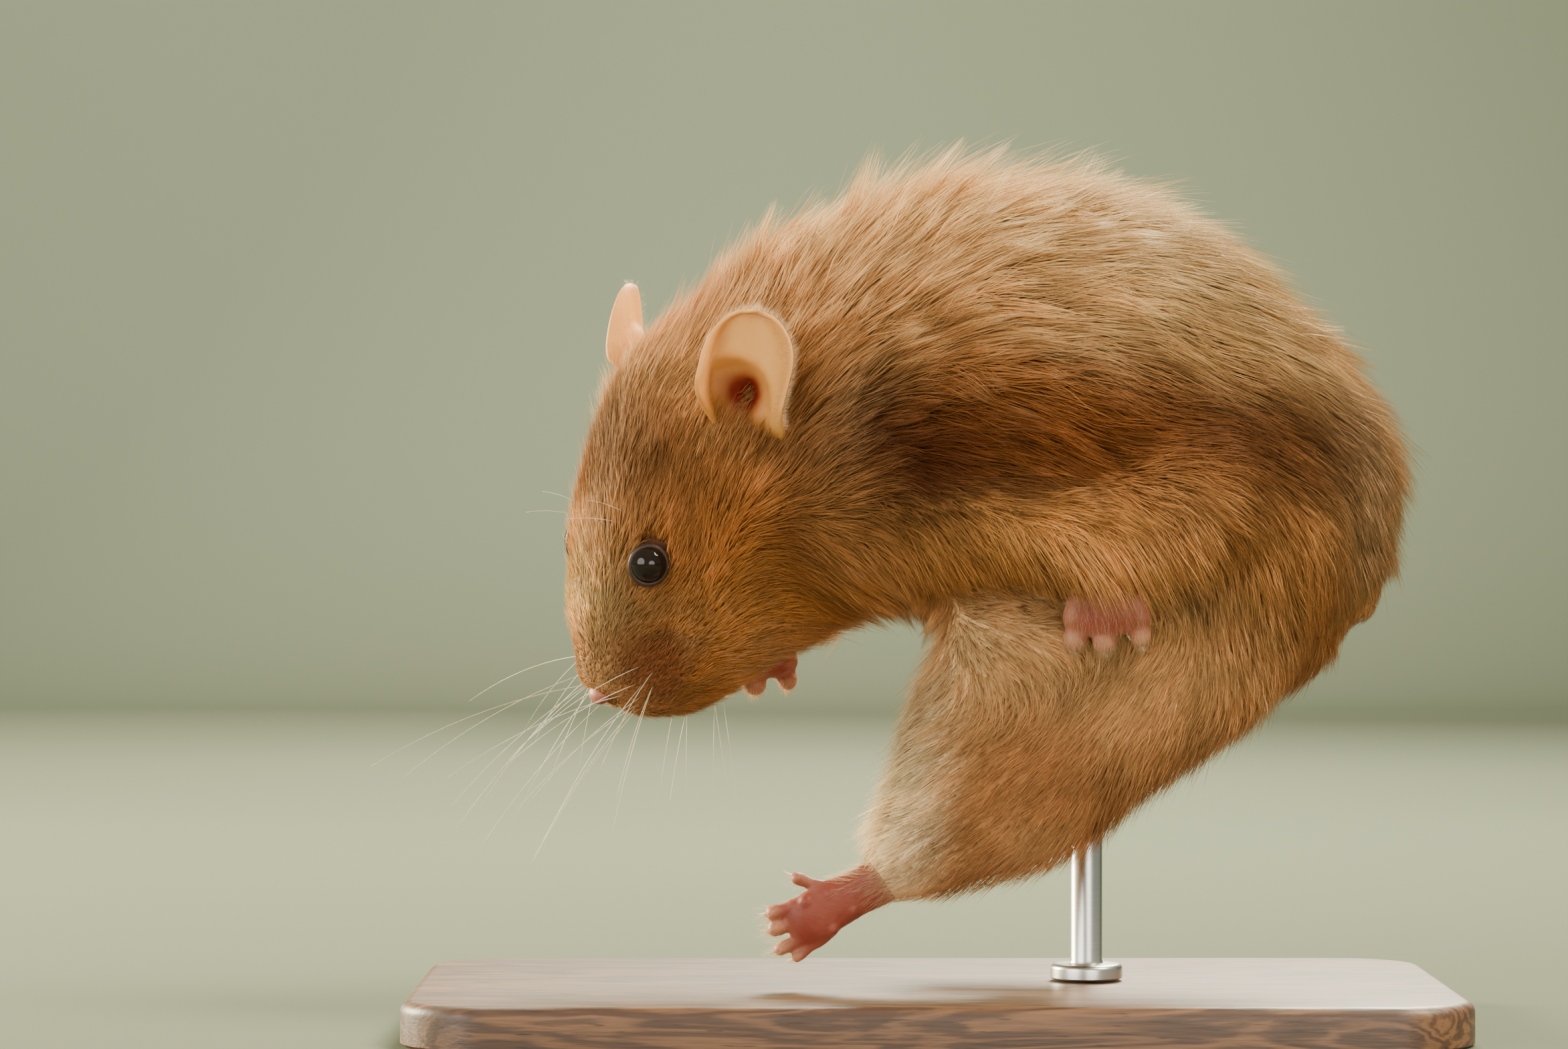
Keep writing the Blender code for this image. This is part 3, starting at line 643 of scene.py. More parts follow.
@dataclass(frozen=True)
class MarkingsAndPaintedLight:
    """The coat's pattern with some painted shade and light, shared by the skin and every tuft; later patches
    lie over earlier ones.

    Body patches are in the frame's axes and face patches in the head's. The last three fields say where the
    tips are pale, by middle, radii and strength: back and nape, the crown in the head's axes, and the belly.
    """

    base: tuple = (218, 162, 96)
    body: tuple = (
        # back and rump, pale gold over brown
        Patch((236, 198, 136), (12, 0, 112), (52, 34, 20), 0.9),
        Patch((212, 180, 124), (40, 0, 102), (30, 30, 20), 0.7),
        # the pale cap on top of the back: partly the coat's pale colour, partly painted light from above
        Patch((255, 240, 196), (14, 0, 121), (38, 22, 9), 0.95),
        Patch((222, 194, 152), (62, 0, 84), (16, 26, 22), 0.7),
        # dark band along each flank, from behind the cheek to the hip
        *both_sides(
            Patch((98, 38, 8), (-8, -30, 79), (23, 20, 11), 0.95),
            Patch((160, 92, 36), (18, -32, 84), (30, 20, 10), 0.9),
            Patch((122, 74, 32), (42, -26, 84), (20, 20, 9), 0.85),
        ),
        # warm lower flank
        *both_sides(Patch((230, 172, 94), (10, -28, 65), (34, 14, 8), 0.9)),
        # cream underside
        Patch((240, 204, 150), (8, 0, 51), (36, 32, 10), 0.85),
        Patch((248, 218, 168), (-12, 0, 54), (12, 20, 6), 0.8),
        # thighs and shanks
        *both_sides(Patch((240, 196, 134), (28, -26, 46), (30, 14, 22), 0.8)),
        Patch((206, 142, 84), (14, -26, 37), (11, 12, 9), 0.7),
        Patch((246, 208, 150), (22, -14, 22), (26, 16, 8), 0.7),
        Patch((186, 128, 76), (4, -18, 26), (8, 12, 7), 0.6),
        # painted shade: a dark patch in the recess between each flank's roll and its thigh
        *both_sides(Patch((92, 52, 26), (34, -25, 63), (5, 6, 4), 0.8)),
        # golden throat
        *both_sides(Patch((252, 200, 126), (-16, -16, 60), (10, 14, 8), 0.85)),
        # cream front of the shins
        Patch((255, 238, 196), (-6, -14, 37), (9, 12, 18), 1.0),
        Patch((252, 234, 202), (8, 16, 38), (6, 10, 12), 0.9),
    )
    face: tuple = (
        # bridge, cheeks and the rings round the eyes
        Patch((255, 224, 154), (-17, 0, 7), (21, 13, 10), 1.0),
        *both_sides(Patch((158, 88, 24), (-20, 12, -6), (14, 8, 10), 0.75)),
        *both_sides(Patch((232, 158, 68), (-14, 8, -14), (14, 10, 6), 0.8)),
        *both_sides(Patch((226, 150, 76), (-27, 8, 1), (9, 7, 8), 0.6)),
        # muzzle, chin and crown
        Patch((170, 98, 42), (-4, 0, -2), (6, 8, 6), 0.65),
        # painted shade: a soft reddish-brown patch in the fold behind each whisker pad
        *both_sides(Patch((150, 76, 40), (-6.5, 7.5, -2.5), (3.6, 3.8, 2.8), 0.65)),
        Patch((248, 206, 140), (-22, 0, -19), (14, 12, 5), 0.8),
        Patch((140, 84, 32), (-34, 2, 11), (7, 10, 6), 0.75),
    )
    frost: tuple = (((8, 0, 116), (56, 42, 26), 1.0), ((-20, 0, 96), (16, 26, 20), 0.6))
    crown: tuple = ((-30, 2, 9), (12, 12, 10), 0.1)
    belly: tuple = ((0, 0, 44), (60, 20, 18), 0.5)


def build_markings(markings: MarkingsAndPaintedLight) -> Nodes:
    """Makes the group that turns a place on the animal into its colour, painted shade and light included, and
    how pale the tips are.

    Formula: a patch's mask is an S of the distance from its middle, measured in its own radii, so that it is
    1 well inside the ellipsoid and 0 at half as far again; each patch is mixed over those before it.

    Args:
        markings: The coat's pattern.

    Returns:
        The shader group.
    """
    group, tree, entry, leave = new_group(
        "coat markings and painted light",
        [("Place", "NodeSocketVector", None), ("Ruffle", "NodeSocketFloat", 0.003)],
        [("Colour", "NodeSocketColor"), ("Frost", "NodeSocketFloat")],
    )
    wander = tree.add("TexNoise", {"Vector": entry["Place"], "Scale": 160.0, "Detail": 2.0}).outputs["Color"]
    centred = tree.vector("SUBTRACT", wander, (0.5, 0.5, 0.5))
    shift = tree.add("VectorMath", {0: centred, "Scale": entry["Ruffle"]}, operation="SCALE").outputs[0]
    place = tree.vector("ADD", entry["Place"], shift)

    def mask(centre: Array, radii: tuple, strength: float) -> Socket:
        """1 inside the ellipsoid, falling to 0 at half as far again."""
        offset = tree.vector("SUBTRACT", place, tuple(centre))
        scaled = tree.vector("MULTIPLY", offset, tuple(1 / (r * MM) for r in radii))
        far = tree.add("VectorMath", {0: scaled}, operation="LENGTH").outputs["Value"]
        return tree.math("MULTIPLY", tree.rise(far, 1.45, 0.45), strength)

    base = linear(*markings.base)
    colour = tree.mix(0.0, base, base)
    for patch in markings.body:
        share = mask(np.array(patch.centre) * MM, patch.radii, patch.strength)
        colour = tree.mix(share, colour, linear(*patch.colour))
    head = np.abs(np.array([HEAD.forward, HEAD.left, HEAD.up]).T)
    for patch in markings.face:
        share = mask(HEAD.place(*patch.centre), tuple(head @ np.array(patch.radii)), patch.strength)
        colour = tree.mix(share, colour, linear(*patch.colour))
    lumps = tree.noise(entry["Place"], 260.0, 3.0)
    shade = tree.mix(tree.rise(lumps, 0.35, 0.7), (0.80, 0.78, 0.76), (1.12, 1.12, 1.12))
    tree.link(tree.mix(1.0, colour, shade, "MULTIPLY"), leave["Colour"])

    back, nape = (mask(np.array(centre) * MM, radii, share) for centre, radii, share in markings.frost)
    crown = mask(HEAD.place(*markings.crown[0]), *markings.crown[1:])
    under = mask(np.array(markings.belly[0]) * MM, *markings.belly[1:])
    frost = tree.math("MAXIMUM", tree.math("MAXIMUM", back, nape), tree.math("MAXIMUM", crown, under))
    streaks = tree.rise(tree.noise(entry["Place"], 120.0, 3.0), 0.40, 0.62)
    patchy = tree.math("MULTIPLY", frost, tree.math("ADD", tree.math("MULTIPLY", streaks, 0.75), 0.25))
    tree.link(patchy, leave["Frost"])
    return group


def new_material(name: str) -> tuple[Material, Tree, bpy.types.Node]:
    """A material with a Principled BSDF joined to its output."""
    material = bpy.data.materials.new(name)
    material.use_nodes = True
    return material, Tree(material.node_tree), material.node_tree.nodes["Principled BSDF"]


def set_constants(shader: bpy.types.Node, **values: object) -> None:
    """Sets the shader's own sockets; underscores in the names stand for spaces."""
    for name, value in values.items():
        shader.inputs[name.replace("_", " ")].default_value = value


def keep_at_vertices(mesh: bpy.types.Mesh, name: str, values: Array) -> None:
    """Stores a number, or a vector, at each vertex of a mesh for its material to read."""
    kind, item = ("FLOAT_VECTOR", "vector") if values.ndim == 2 else ("FLOAT", "value")
    mesh.attributes.new(name, kind, "POINT").data.foreach_set(item, values.astype(np.float32).ravel())


def finished(obj: Object, slot: str, *materials: Material, nodes: tuple = ()) -> Object:
    """Gives a piece its materials, the body it rides on and the solids it replaces.

    Args:
        obj: The piece.
        slot: The material slot it belongs to; not used.
        materials: Its materials, in order.
        nodes: The CAD nodes that it takes the place of.

    Returns:
        The piece.
    """
    for material in materials:
        obj.data.materials.append(material)
    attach(obj, "root")
    if nodes:
        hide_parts(*nodes)
    return obj


@dataclass(frozen=True)
class CoatFinish:
    """Hair: dull dark roots, the marking's colour, then pale tips where the coat is frosted."""

    name: str = "hair"
    tip_colour: tuple = linear(255, 234, 178)
    root_shade: float = 0.80
    roughness: float = 0.5
    through: float = 0.45

    def make(self, markings: Nodes) -> Material:
        """Builds the material; it reads each tuft's root place, the way along it and its own random shade.

        Args:
            markings: The group that gives the coat's pattern.

        Returns:
            The material.
        """
        material, tree, shader = new_material(self.name)
        root = tree.attribute("root", "Vector")
        along = tree.attribute("along")
        chance = tree.attribute("chance")
        pattern = tree.add("Group", {}, node_tree=markings)
        tree.link(root, pattern.inputs["Place"])
        colour = pattern.outputs["Colour"]
        lively = tree.rise(chance, 0.0, 1.0)
        varied = tree.mix(1.0, colour, tree.mix(lively, (0.76, 0.74, 0.72), (1.20, 1.18, 1.15)), "MULTIPLY")
        rooted = tree.mix(tree.rise(along, 0.0, 0.55), (self.root_shade,) * 3, (1.0, 1.0, 1.0))
        body = tree.mix(1.0, varied, rooted, "MULTIPLY")
        reach = tree.math("MULTIPLY", tree.rise(along, 0.35, 0.95), pattern.outputs["Frost"])
        reach = tree.math("MULTIPLY", reach, tree.math("ADD", tree.math("MULTIPLY", lively, 0.7), 0.3))
        tipped = tree.mix(reach, body, self.tip_colour)
        tree.link(tipped, shader.inputs["Base Color"])
        set_constants(shader, Roughness=self.roughness, Specular_IOR_Level=0.3)
        tree.let_through(shader, tipped, self.through)
        return material


@dataclass(frozen=True)
class HairFinish:
    """Fine plain hair that lets light through, one colour at its root and another at its tip."""

    name: str
    root: tuple
    tip: tuple
    roughness: float = 0.5
    through: float = 0.4

    def make(self) -> Material:
        """Builds the material; it reads the way along each hair."""
        material, tree, shader = new_material(self.name)
        along = tree.attribute("along")
        colour = tree.mix(along, self.root, self.tip)
        tree.link(colour, shader.inputs["Base Color"])
        set_constants(shader, Roughness=self.roughness, Specular_IOR_Level=0.3)
        tree.let_through(shader, colour, self.through)
        return material


@dataclass(frozen=True)
class SkinFinish:
    """The skin under the coat, in the coat's own colours, darker round the eyes, with fine hair as bump."""

    name: str = "undercoat"
    roughness: float = 0.75
    rim: tuple = linear(84, 50, 30)
    rim_from: float = 1.15
    rim_to: float = 1.45

    def make(self, markings: Nodes) -> Material:
        """Builds the material: the coat's pattern, with fine hair as shade and bump.

        Args:
            markings: The group that gives the coat's pattern.

        Returns:
            The material.
        """
        material, tree, shader = new_material(self.name)
        place = tree.place()
        pattern = tree.add("Group", {}, node_tree=markings)
        tree.link(place, pattern.inputs["Place"])
        hairs = tree.noise(place, 2600.0, 4.0)
        shaded = tree.mix(tree.rise(hairs, 0.3, 0.7), (0.70, 0.68, 0.66), (1.0, 0.98, 0.96))
        colour = tree.mix(1.0, pattern.outputs["Colour"], shaded, "MULTIPLY")
        for eye in EYES:
            far = tree.vector("DISTANCE", place, tuple(eye), "Value")
            near = tree.rise(far, EYE_RADIUS * self.rim_to, EYE_RADIUS * self.rim_from)
            colour = tree.mix(near, colour, self.rim)
        tree.link(colour, shader.inputs["Base Color"])
        tree.relief(shader, hairs, 0.5, 0.0002)
        set_constants(shader, Roughness=self.roughness, Specular_IOR_Level=0.2)
        return material


@dataclass(frozen=True)
class BareSkin:
    """Bare skin of ears, paws, nose and lids: soft, a little mottled, finely creased, with light in it."""

    name: str
    colour: tuple
    flush: tuple
    roughness: float = 0.5
    creases: float = 2200.0
    depth_mm: float = 1.0
    glow: float = 0.25

    def make(self) -> Material:
        """Builds the material; the attribute "flush" says where the blood shows."""
        material, tree, shader = new_material(self.name)
        place = tree.place()
        flush = tree.attribute("flush")
        mottle = tree.rise(tree.noise(place, 420.0, 4.0), 0.3, 0.75)
        share = tree.math("ADD", flush, tree.math("MULTIPLY", tree.math("SUBTRACT", mottle, 0.5), 0.12), True)
        tree.link(tree.mix(share, self.colour, self.flush), shader.inputs["Base Color"])
        fine = tree.noise(place, self.creases, 5.0)
        tree.relief(shader, fine, 0.35, 0.00015)
        rough = tree.spread(fine, self.roughness - 0.08, self.roughness + 0.1)
        tree.link(rough, shader.inputs["Roughness"])
        set_constants(shader, Subsurface_Weight=self.glow, Subsurface_Scale=self.depth_mm * MM)
        set_constants(shader, Subsurface_Radius=(1.0, 0.35, 0.2), Specular_IOR_Level=0.35)
        return material


@dataclass(frozen=True)
class Mottled:
    """A plain finish whose colour wanders between two in soft lumps, so many a metre, broken up by detail."""

    name: str
    dark: tuple
    pale: tuple
    lumps: float
    between: tuple
    detail: float = 2.0
    sockets: tuple = (("Roughness", 0.35),)

    def make(self) -> Material:
        """Builds the material."""
        material, tree, shader = new_material(self.name)
        shade = tree.rise(tree.noise(tree.place(), self.lumps, self.detail), *self.between)
        tree.link(tree.mix(shade, self.dark, self.pale), shader.inputs["Base Color"])
        set_constants(shader, **dict(self.sockets))
        return material


@dataclass(frozen=True)
class Walnut:
    """Dark oiled wood: long grain bands along the base, fine pores and a soft gloss."""

    name: str = "walnut"
    early: tuple = linear(66, 44, 30)
    late: tuple = linear(112, 78, 52)
    pore: tuple = linear(48, 32, 22)
    rings: float = 46.0
    rough_from: float = 0.38
    rough_to: float = 0.58

    def make(self) -> Material:
        """Builds the material; both noises are drawn out along X."""
        material, tree, shader = new_material(self.name)
        place = tree.place()
        bands = tree.noise(tree.stretched(place, 1.0, 7.0, 7.0), 22.0, 5.0, Distortion=0.6)
        rings = tree.math("SINE", tree.math("MULTIPLY", bands, self.rings))
        pores = tree.noise(tree.stretched(place, 1.0, 16.0, 16.0), 160.0, 4.0)
        grain = tree.math("ADD", tree.math("MULTIPLY", rings, 0.25), bands)
        colour = tree.mix(tree.rise(grain, 0.2, 0.95), self.early, self.late)
        colour = tree.mix(tree.rise(pores, 0.62, 0.72), colour, self.pore)
        tree.link(colour, shader.inputs["Base Color"])
        tree.link(tree.spread(pores, self.rough_from, self.rough_to), shader.inputs["Roughness"])
        tree.relief(shader, pores, 0.25, 0.0002)
        set_constants(shader, Coat_Weight=0.15, Coat_Roughness=0.35)
        return material


@dataclass(frozen=True)
class SatinSteel:
    """Satin steel with fine turning lines round the rod."""

    name: str = "satin steel"
    dark: tuple = linear(176, 176, 172)
    pale: tuple = linear(206, 206, 202)
    rough_from: float = 0.24
    rough_to: float = 0.4

    def make(self) -> Material:
        """Builds the material; its noise is pressed flat along Z."""
        material, tree, shader = new_material(self.name)
        lines = tree.noise(tree.stretched(tree.place(), 1.0, 1.0, 60.0), 160.0, 3.0)
        tree.link(tree.mix(lines, self.dark, self.pale), shader.inputs["Base Color"])
        tree.link(tree.spread(lines, self.rough_from, self.rough_to), shader.inputs["Roughness"])
        set_constants(shader, Metallic=1.0)
        return material


@dataclass(frozen=True)
class Paper:
    """Matt pale paper, faintly cloudy, with painted shade that darkens it to one side and on the floor in
    front.
    """

    name: str = "backdrop paper"
    dark: tuple = linear(178, 188, 162)
    pale: tuple = linear(186, 195, 170)
    # tones of painted shade: towards +X, and on the floor in front
    painted_side_shade: tuple = (0.50, 0.52, 0.53)
    painted_floor_shade: tuple = (0.26, 0.26, 0.26)

    def make(self) -> Material:
        """Builds the material: each painted shade comes in as an S along X or Y."""
        material, tree, shader = new_material(self.name)
        place = tree.place()
        cloudy = tree.noise(place, 1.2, 2.0)
        colour = tree.mix(tree.rise(cloudy, 0.3, 0.7), self.dark, self.pale)
        x, y, _ = tree.add("SeparateXYZ", {0: place}).outputs
        white = (1.0, 1.0, 1.0)
        # painted shade: the paper goes darker towards +X
        dim = tree.mix(tree.rise(x, -0.10, 0.60), white, self.painted_side_shade)
        # painted shade: the floor in front goes darker, against the lamps' strong light on it
        low = tree.mix(tree.rise(y, 1.6, 0.5), white, self.painted_floor_shade)
        colour = tree.mix(1.0, tree.mix(1.0, colour, dim, "MULTIPLY"), low, "MULTIPLY")
        tree.link(colour, shader.inputs["Base Color"])
        set_constants(shader, Roughness=0.9, Specular_IOR_Level=0.0)
        return material


EAR_SKIN = BareSkin("ear skin", linear(216, 154, 78), linear(112, 14, 6), 0.6, creases=900.0, glow=0.12)
PAW_SKIN = BareSkin("paw skin", linear(166, 114, 84), linear(122, 50, 36))
NOSE_SKIN = BareSkin("nose skin", linear(176, 110, 88), linear(110, 48, 38), 0.42)
LID_SKIN = BareSkin("lid", linear(52, 32, 24), linear(52, 32, 24), 0.4)
DOWN = HairFinish("down", linear(226, 188, 140), linear(246, 222, 184))
WET_BLACK = Mottled(
    "eye", (0.006, 0.004, 0.003), (0.016, 0.009, 0.005), 300.0, (0.3, 0.8),
    sockets=(("Roughness", 0.06), ("Specular_IOR_Level", 0.28)),
)
WHISKER_HAIR = Mottled("whisker", linear(206, 184, 146), linear(246, 236, 214), 90.0, (0.35, 0.65))
HORN = Mottled(
    "claw", linear(222, 196, 170), linear(244, 232, 214), 900.0, (0.3, 0.7), 3.0,
    sockets=(("Roughness", 0.35), ("Subsurface_Weight", 0.3), ("Subsurface_Scale", 0.0006)),
)


# ---- skin


class Finish(Enum):
    """The skin's finishes, by their place in its list of materials."""

    UNDERCOAT = 0
    EAR = 1
    PAW = 2
    NOSE = 3
    LID = 4


@dataclass
class Piece:
    """A surface, its finish, and how flushed with blood each vertex is."""

    surface: Surface
    finish: Finish
    flush: Array


@dataclass
class Ear:
    """A thin round cup with a rolled front rim, open towards the side.

    Its side is 1 for left and -1 for right; rolled is how much of its fold, hollow and canal it shows.
    """

    root_mm: tuple
    tip: tuple
    opening: tuple
    side: int
    length_mm: float = 17.4
    width_mm: float = 17.2
    dish_mm: float = 4.2
    wall_mm: float = 0.5
    buried_mm: float = -6.0
    hollow_mm: float = 2.4
    canal_mm: float = 3.4
    lobe_mm: float = 1.6
    fold_mm: float = 2.4
    lean_mm: float = 2.4
    wave_mm: float = 0.25
    rolled: float = 1.0
    rows: int = 44
    columns: int = 44

    def axes(self) -> tuple[Array, Array, Array]:
        """Up the ear, across it towards its rear rim, and out of its opening."""
        up = unit(np.array(self.tip))
        out = unit(np.array(self.opening) - up * (up @ np.array(self.opening)))
        return up, np.cross(up, out) * self.side, out

    def sheet(self, u: Array, height: Array) -> Array:
        """The middle of the ear's wall.

        Formula: the half width swells from the root to a round top, more slowly in front; the dish has an
        inner hollow, with the canal pressed in and a lobe pressed out behind it; the ear leans back with
        height, and the front rim folds forward over the opening.

        Args:
            u: The way across, from -1 at the front rim to 1 at the rear one.
            height: The way up, from 0 at the buried foot to 1 at the tip.

        Returns:
            The points, in metres in the frame.
        """
        up, across, out = self.axes()
        along = self.buried_mm + (self.length_mm - self.buried_mm) * height
        s = along / self.length_mm
        top = np.sqrt(np.clip(1 - (np.clip(s - 0.56, 0, 1) / 0.44) ** 2.2, 0, 1))
        rear = 0.5 + 0.5 * ramp(-0.35, 0.15, s)
        front = 0.4 + 0.6 * ramp(-0.22, 0.45, s)
        half = 0.43 * self.width_mm * np.where(u > 0, rear, front) * top
        dish = self.dish_mm * (1 - 0.62 * s) * (1 - np.abs(u) ** 2.4) * (0.45 + 0.55 * top)
        pressed = self.hollow_mm * self.rolled * ramp(1.25, 0.60, self.hollow(u, s))
        dish = (dish + pressed) * ramp(-0.18, 0.26, s)
        canal = self.canal_mm * self.rolled * np.exp(-(((s - 0.32) / 0.12) ** 2) - ((u + 0.02) / 0.24) ** 2)
        lobe = self.lobe_mm * np.exp(-(((s - 0.16) / 0.10) ** 2) - ((u - 0.40) / 0.24) ** 2)
        fold = self.rolled * ramp(-0.60, -1.0, u) * np.sin(np.pi * np.clip(0.16 + 0.78 * s, 0, 1))
        lean = self.lean_mm * np.clip(s, 0, 1) ** 2
        wave = self.wave_mm * np.sin(5.0 * u + 4.0 * s) * ramp(0.2, 0.7, s)
        sunk = -(7.5 + 4.0 * np.abs(u) ** 2) * ramp(0.32, -0.20, s)
        depth = 2.2 + sunk - dish - canal + lobe - lean + 2.0 * fold + wave
        shift = np.stack([along, half * u + self.fold_mm * fold + 1.2 * s, depth], -1)
        return MM * (np.array(self.root_mm) + shift @ np.stack([up, across, out]))

    def hollow(self, u: Array, s: Array) -> Array:
        """1 on the edge of the inner hollow round the canal, less inside it: an ellipse in u and s."""
        return ((u + 0.15) / 0.85) ** 2 + ((s - 0.20) / 0.40) ** 2

    def flush_at(self, u: Array, height: Array) -> Array:
        """Dark red in the canal, pink in the hollow round it, fading up the cup and to the rims."""
        s = (self.buried_mm + (self.length_mm - self.buried_mm) * height) / self.length_mm
        canal = np.exp(-((((s - 0.31) / 0.17) ** 2 + ((u + 0.02) / 0.36) ** 2) ** 1.5))
        return np.clip(0.95 * canal + 0.42 * ramp(1.3, 0.3, self.hollow(u, s)), 0, 1)

    def build(self) -> Piece:
        """Goes up the ear; each row runs over the inside and back over the outside, half a wall apart."""
        height = np.linspace(0, 1, self.rows) ** 0.85
        u = np.concatenate([np.linspace(-1, 1, self.columns), np.linspace(1, -1, self.columns)[1:-1]])
        inside = np.concatenate([np.ones(self.columns), -np.ones(self.columns - 2)])
        inside[[0, self.columns - 1]] = 0
        h, uu = np.meshgrid(height, u, indexing="ij")
        points = self.sheet(uu, h)
        along = np.gradient(points, axis=0)
        across = self.sheet(uu + 0.01, h) - self.sheet(uu - 0.01, h)
        facing = unit(np.cross(across, along))
        facing *= np.sign((facing @ self.axes()[2]).mean())
        points += facing * inside[None, :, None] * self.wall_mm * MM / 2
        first, last = (points[[row]].mean(1, keepdims=True).repeat(len(u), 1) for row in (0, -1))
        points = np.concatenate([first, points, last])
        surface, kept = merging(Surface.from_grid(points, wrap=True))
        shade = self.flush_at(uu, h) * np.where(inside >= 0, 1.0, 0.35)[None]
        shade = np.concatenate([shade[:1], shade, shade[-1:]])
        return Piece(facing_out(surface), Finish.EAR, shade.ravel()[kept])


def facing_out(surface: Surface) -> Surface:
    """Turns a closed surface right side out: its signed volume has to be above zero."""
    a, b, c = (surface.verts[surface.tris[:, k]] for k in range(3))
    if (np.cross(a, b) * c).sum() < 0:
        return Surface(surface.verts, surface.tris[:, ::-1])
    return surface


@dataclass
class PawShape:
    """A paw in its own frame, in millimetres: along the toes, across, and out of its back.

    The palm runs through lobes, each a place and a radius, and is flattened. A toe is its root along and
    across, length, splay in degrees and radius; all curl to the sole. A pad is a place and a radius.
    """

    palm: tuple
    flatness: float
    toes: tuple
    curl: float
    pads: tuple


FOREPAW = PawShape(
    palm=(
        (-4.2, 1.0, -3.4, 1.9), (-2.6, 0.4, -1.4, 2.5), (-1.0, -0.4, -0.2, 3.3),
        (0.7, -1.9, 0, 3.0), (0.7, 1.9, 0, 3.0),
    ),
    flatness=0.62,
    toes=(
        (0.8, -4.2, 5.2, -3, 1.85), (1.8, -0.5, 4.6, 1, 1.9),
        (1.2, 2.3, 2.6, 8, 1.2), (0.8, 4.3, 4.7, 2, 1.6),
    ),
    curl=8,
    pads=((1.6, -2.9, 1.1), (2.0, 0.2, 1.2), (1.6, 3.1, 1.0), (-1.8, -2.0, 1.2), (-2.2, 1.8, 1.3)),
)
HINDFOOT = PawShape(
    palm=(
        (-5.5, -0.2, 0, 3.1), (-2.5, -0.2, 0, 3.2), (2.5, 0, 0, 3.2), (6.5, 0.2, 0, 3.6), (8.9, -0.2, 0, 3.7),
    ),
    flatness=0.5,
    toes=(
        (5.6, 2.6, 5.0, 50, 1.05), (9.6, 2.1, 5.0, 14, 1.25), (10.2, 0.1, 5.2, 12, 1.25),
        (9.6, -1.9, 6.2, 0, 1.1), (8.6, -3.2, 5.6, -9, 0.95),
    ),
    curl=-4,
    pads=(
        (8.6, 2.3, 1.1), (9.9, 0.6, 1.1), (9.4, -1.4, 1.1),
        (7.2, -2.6, 1.0), (5.2, 1.8, 1.1), (3.6, -1.6, 1.0),
    ),
)


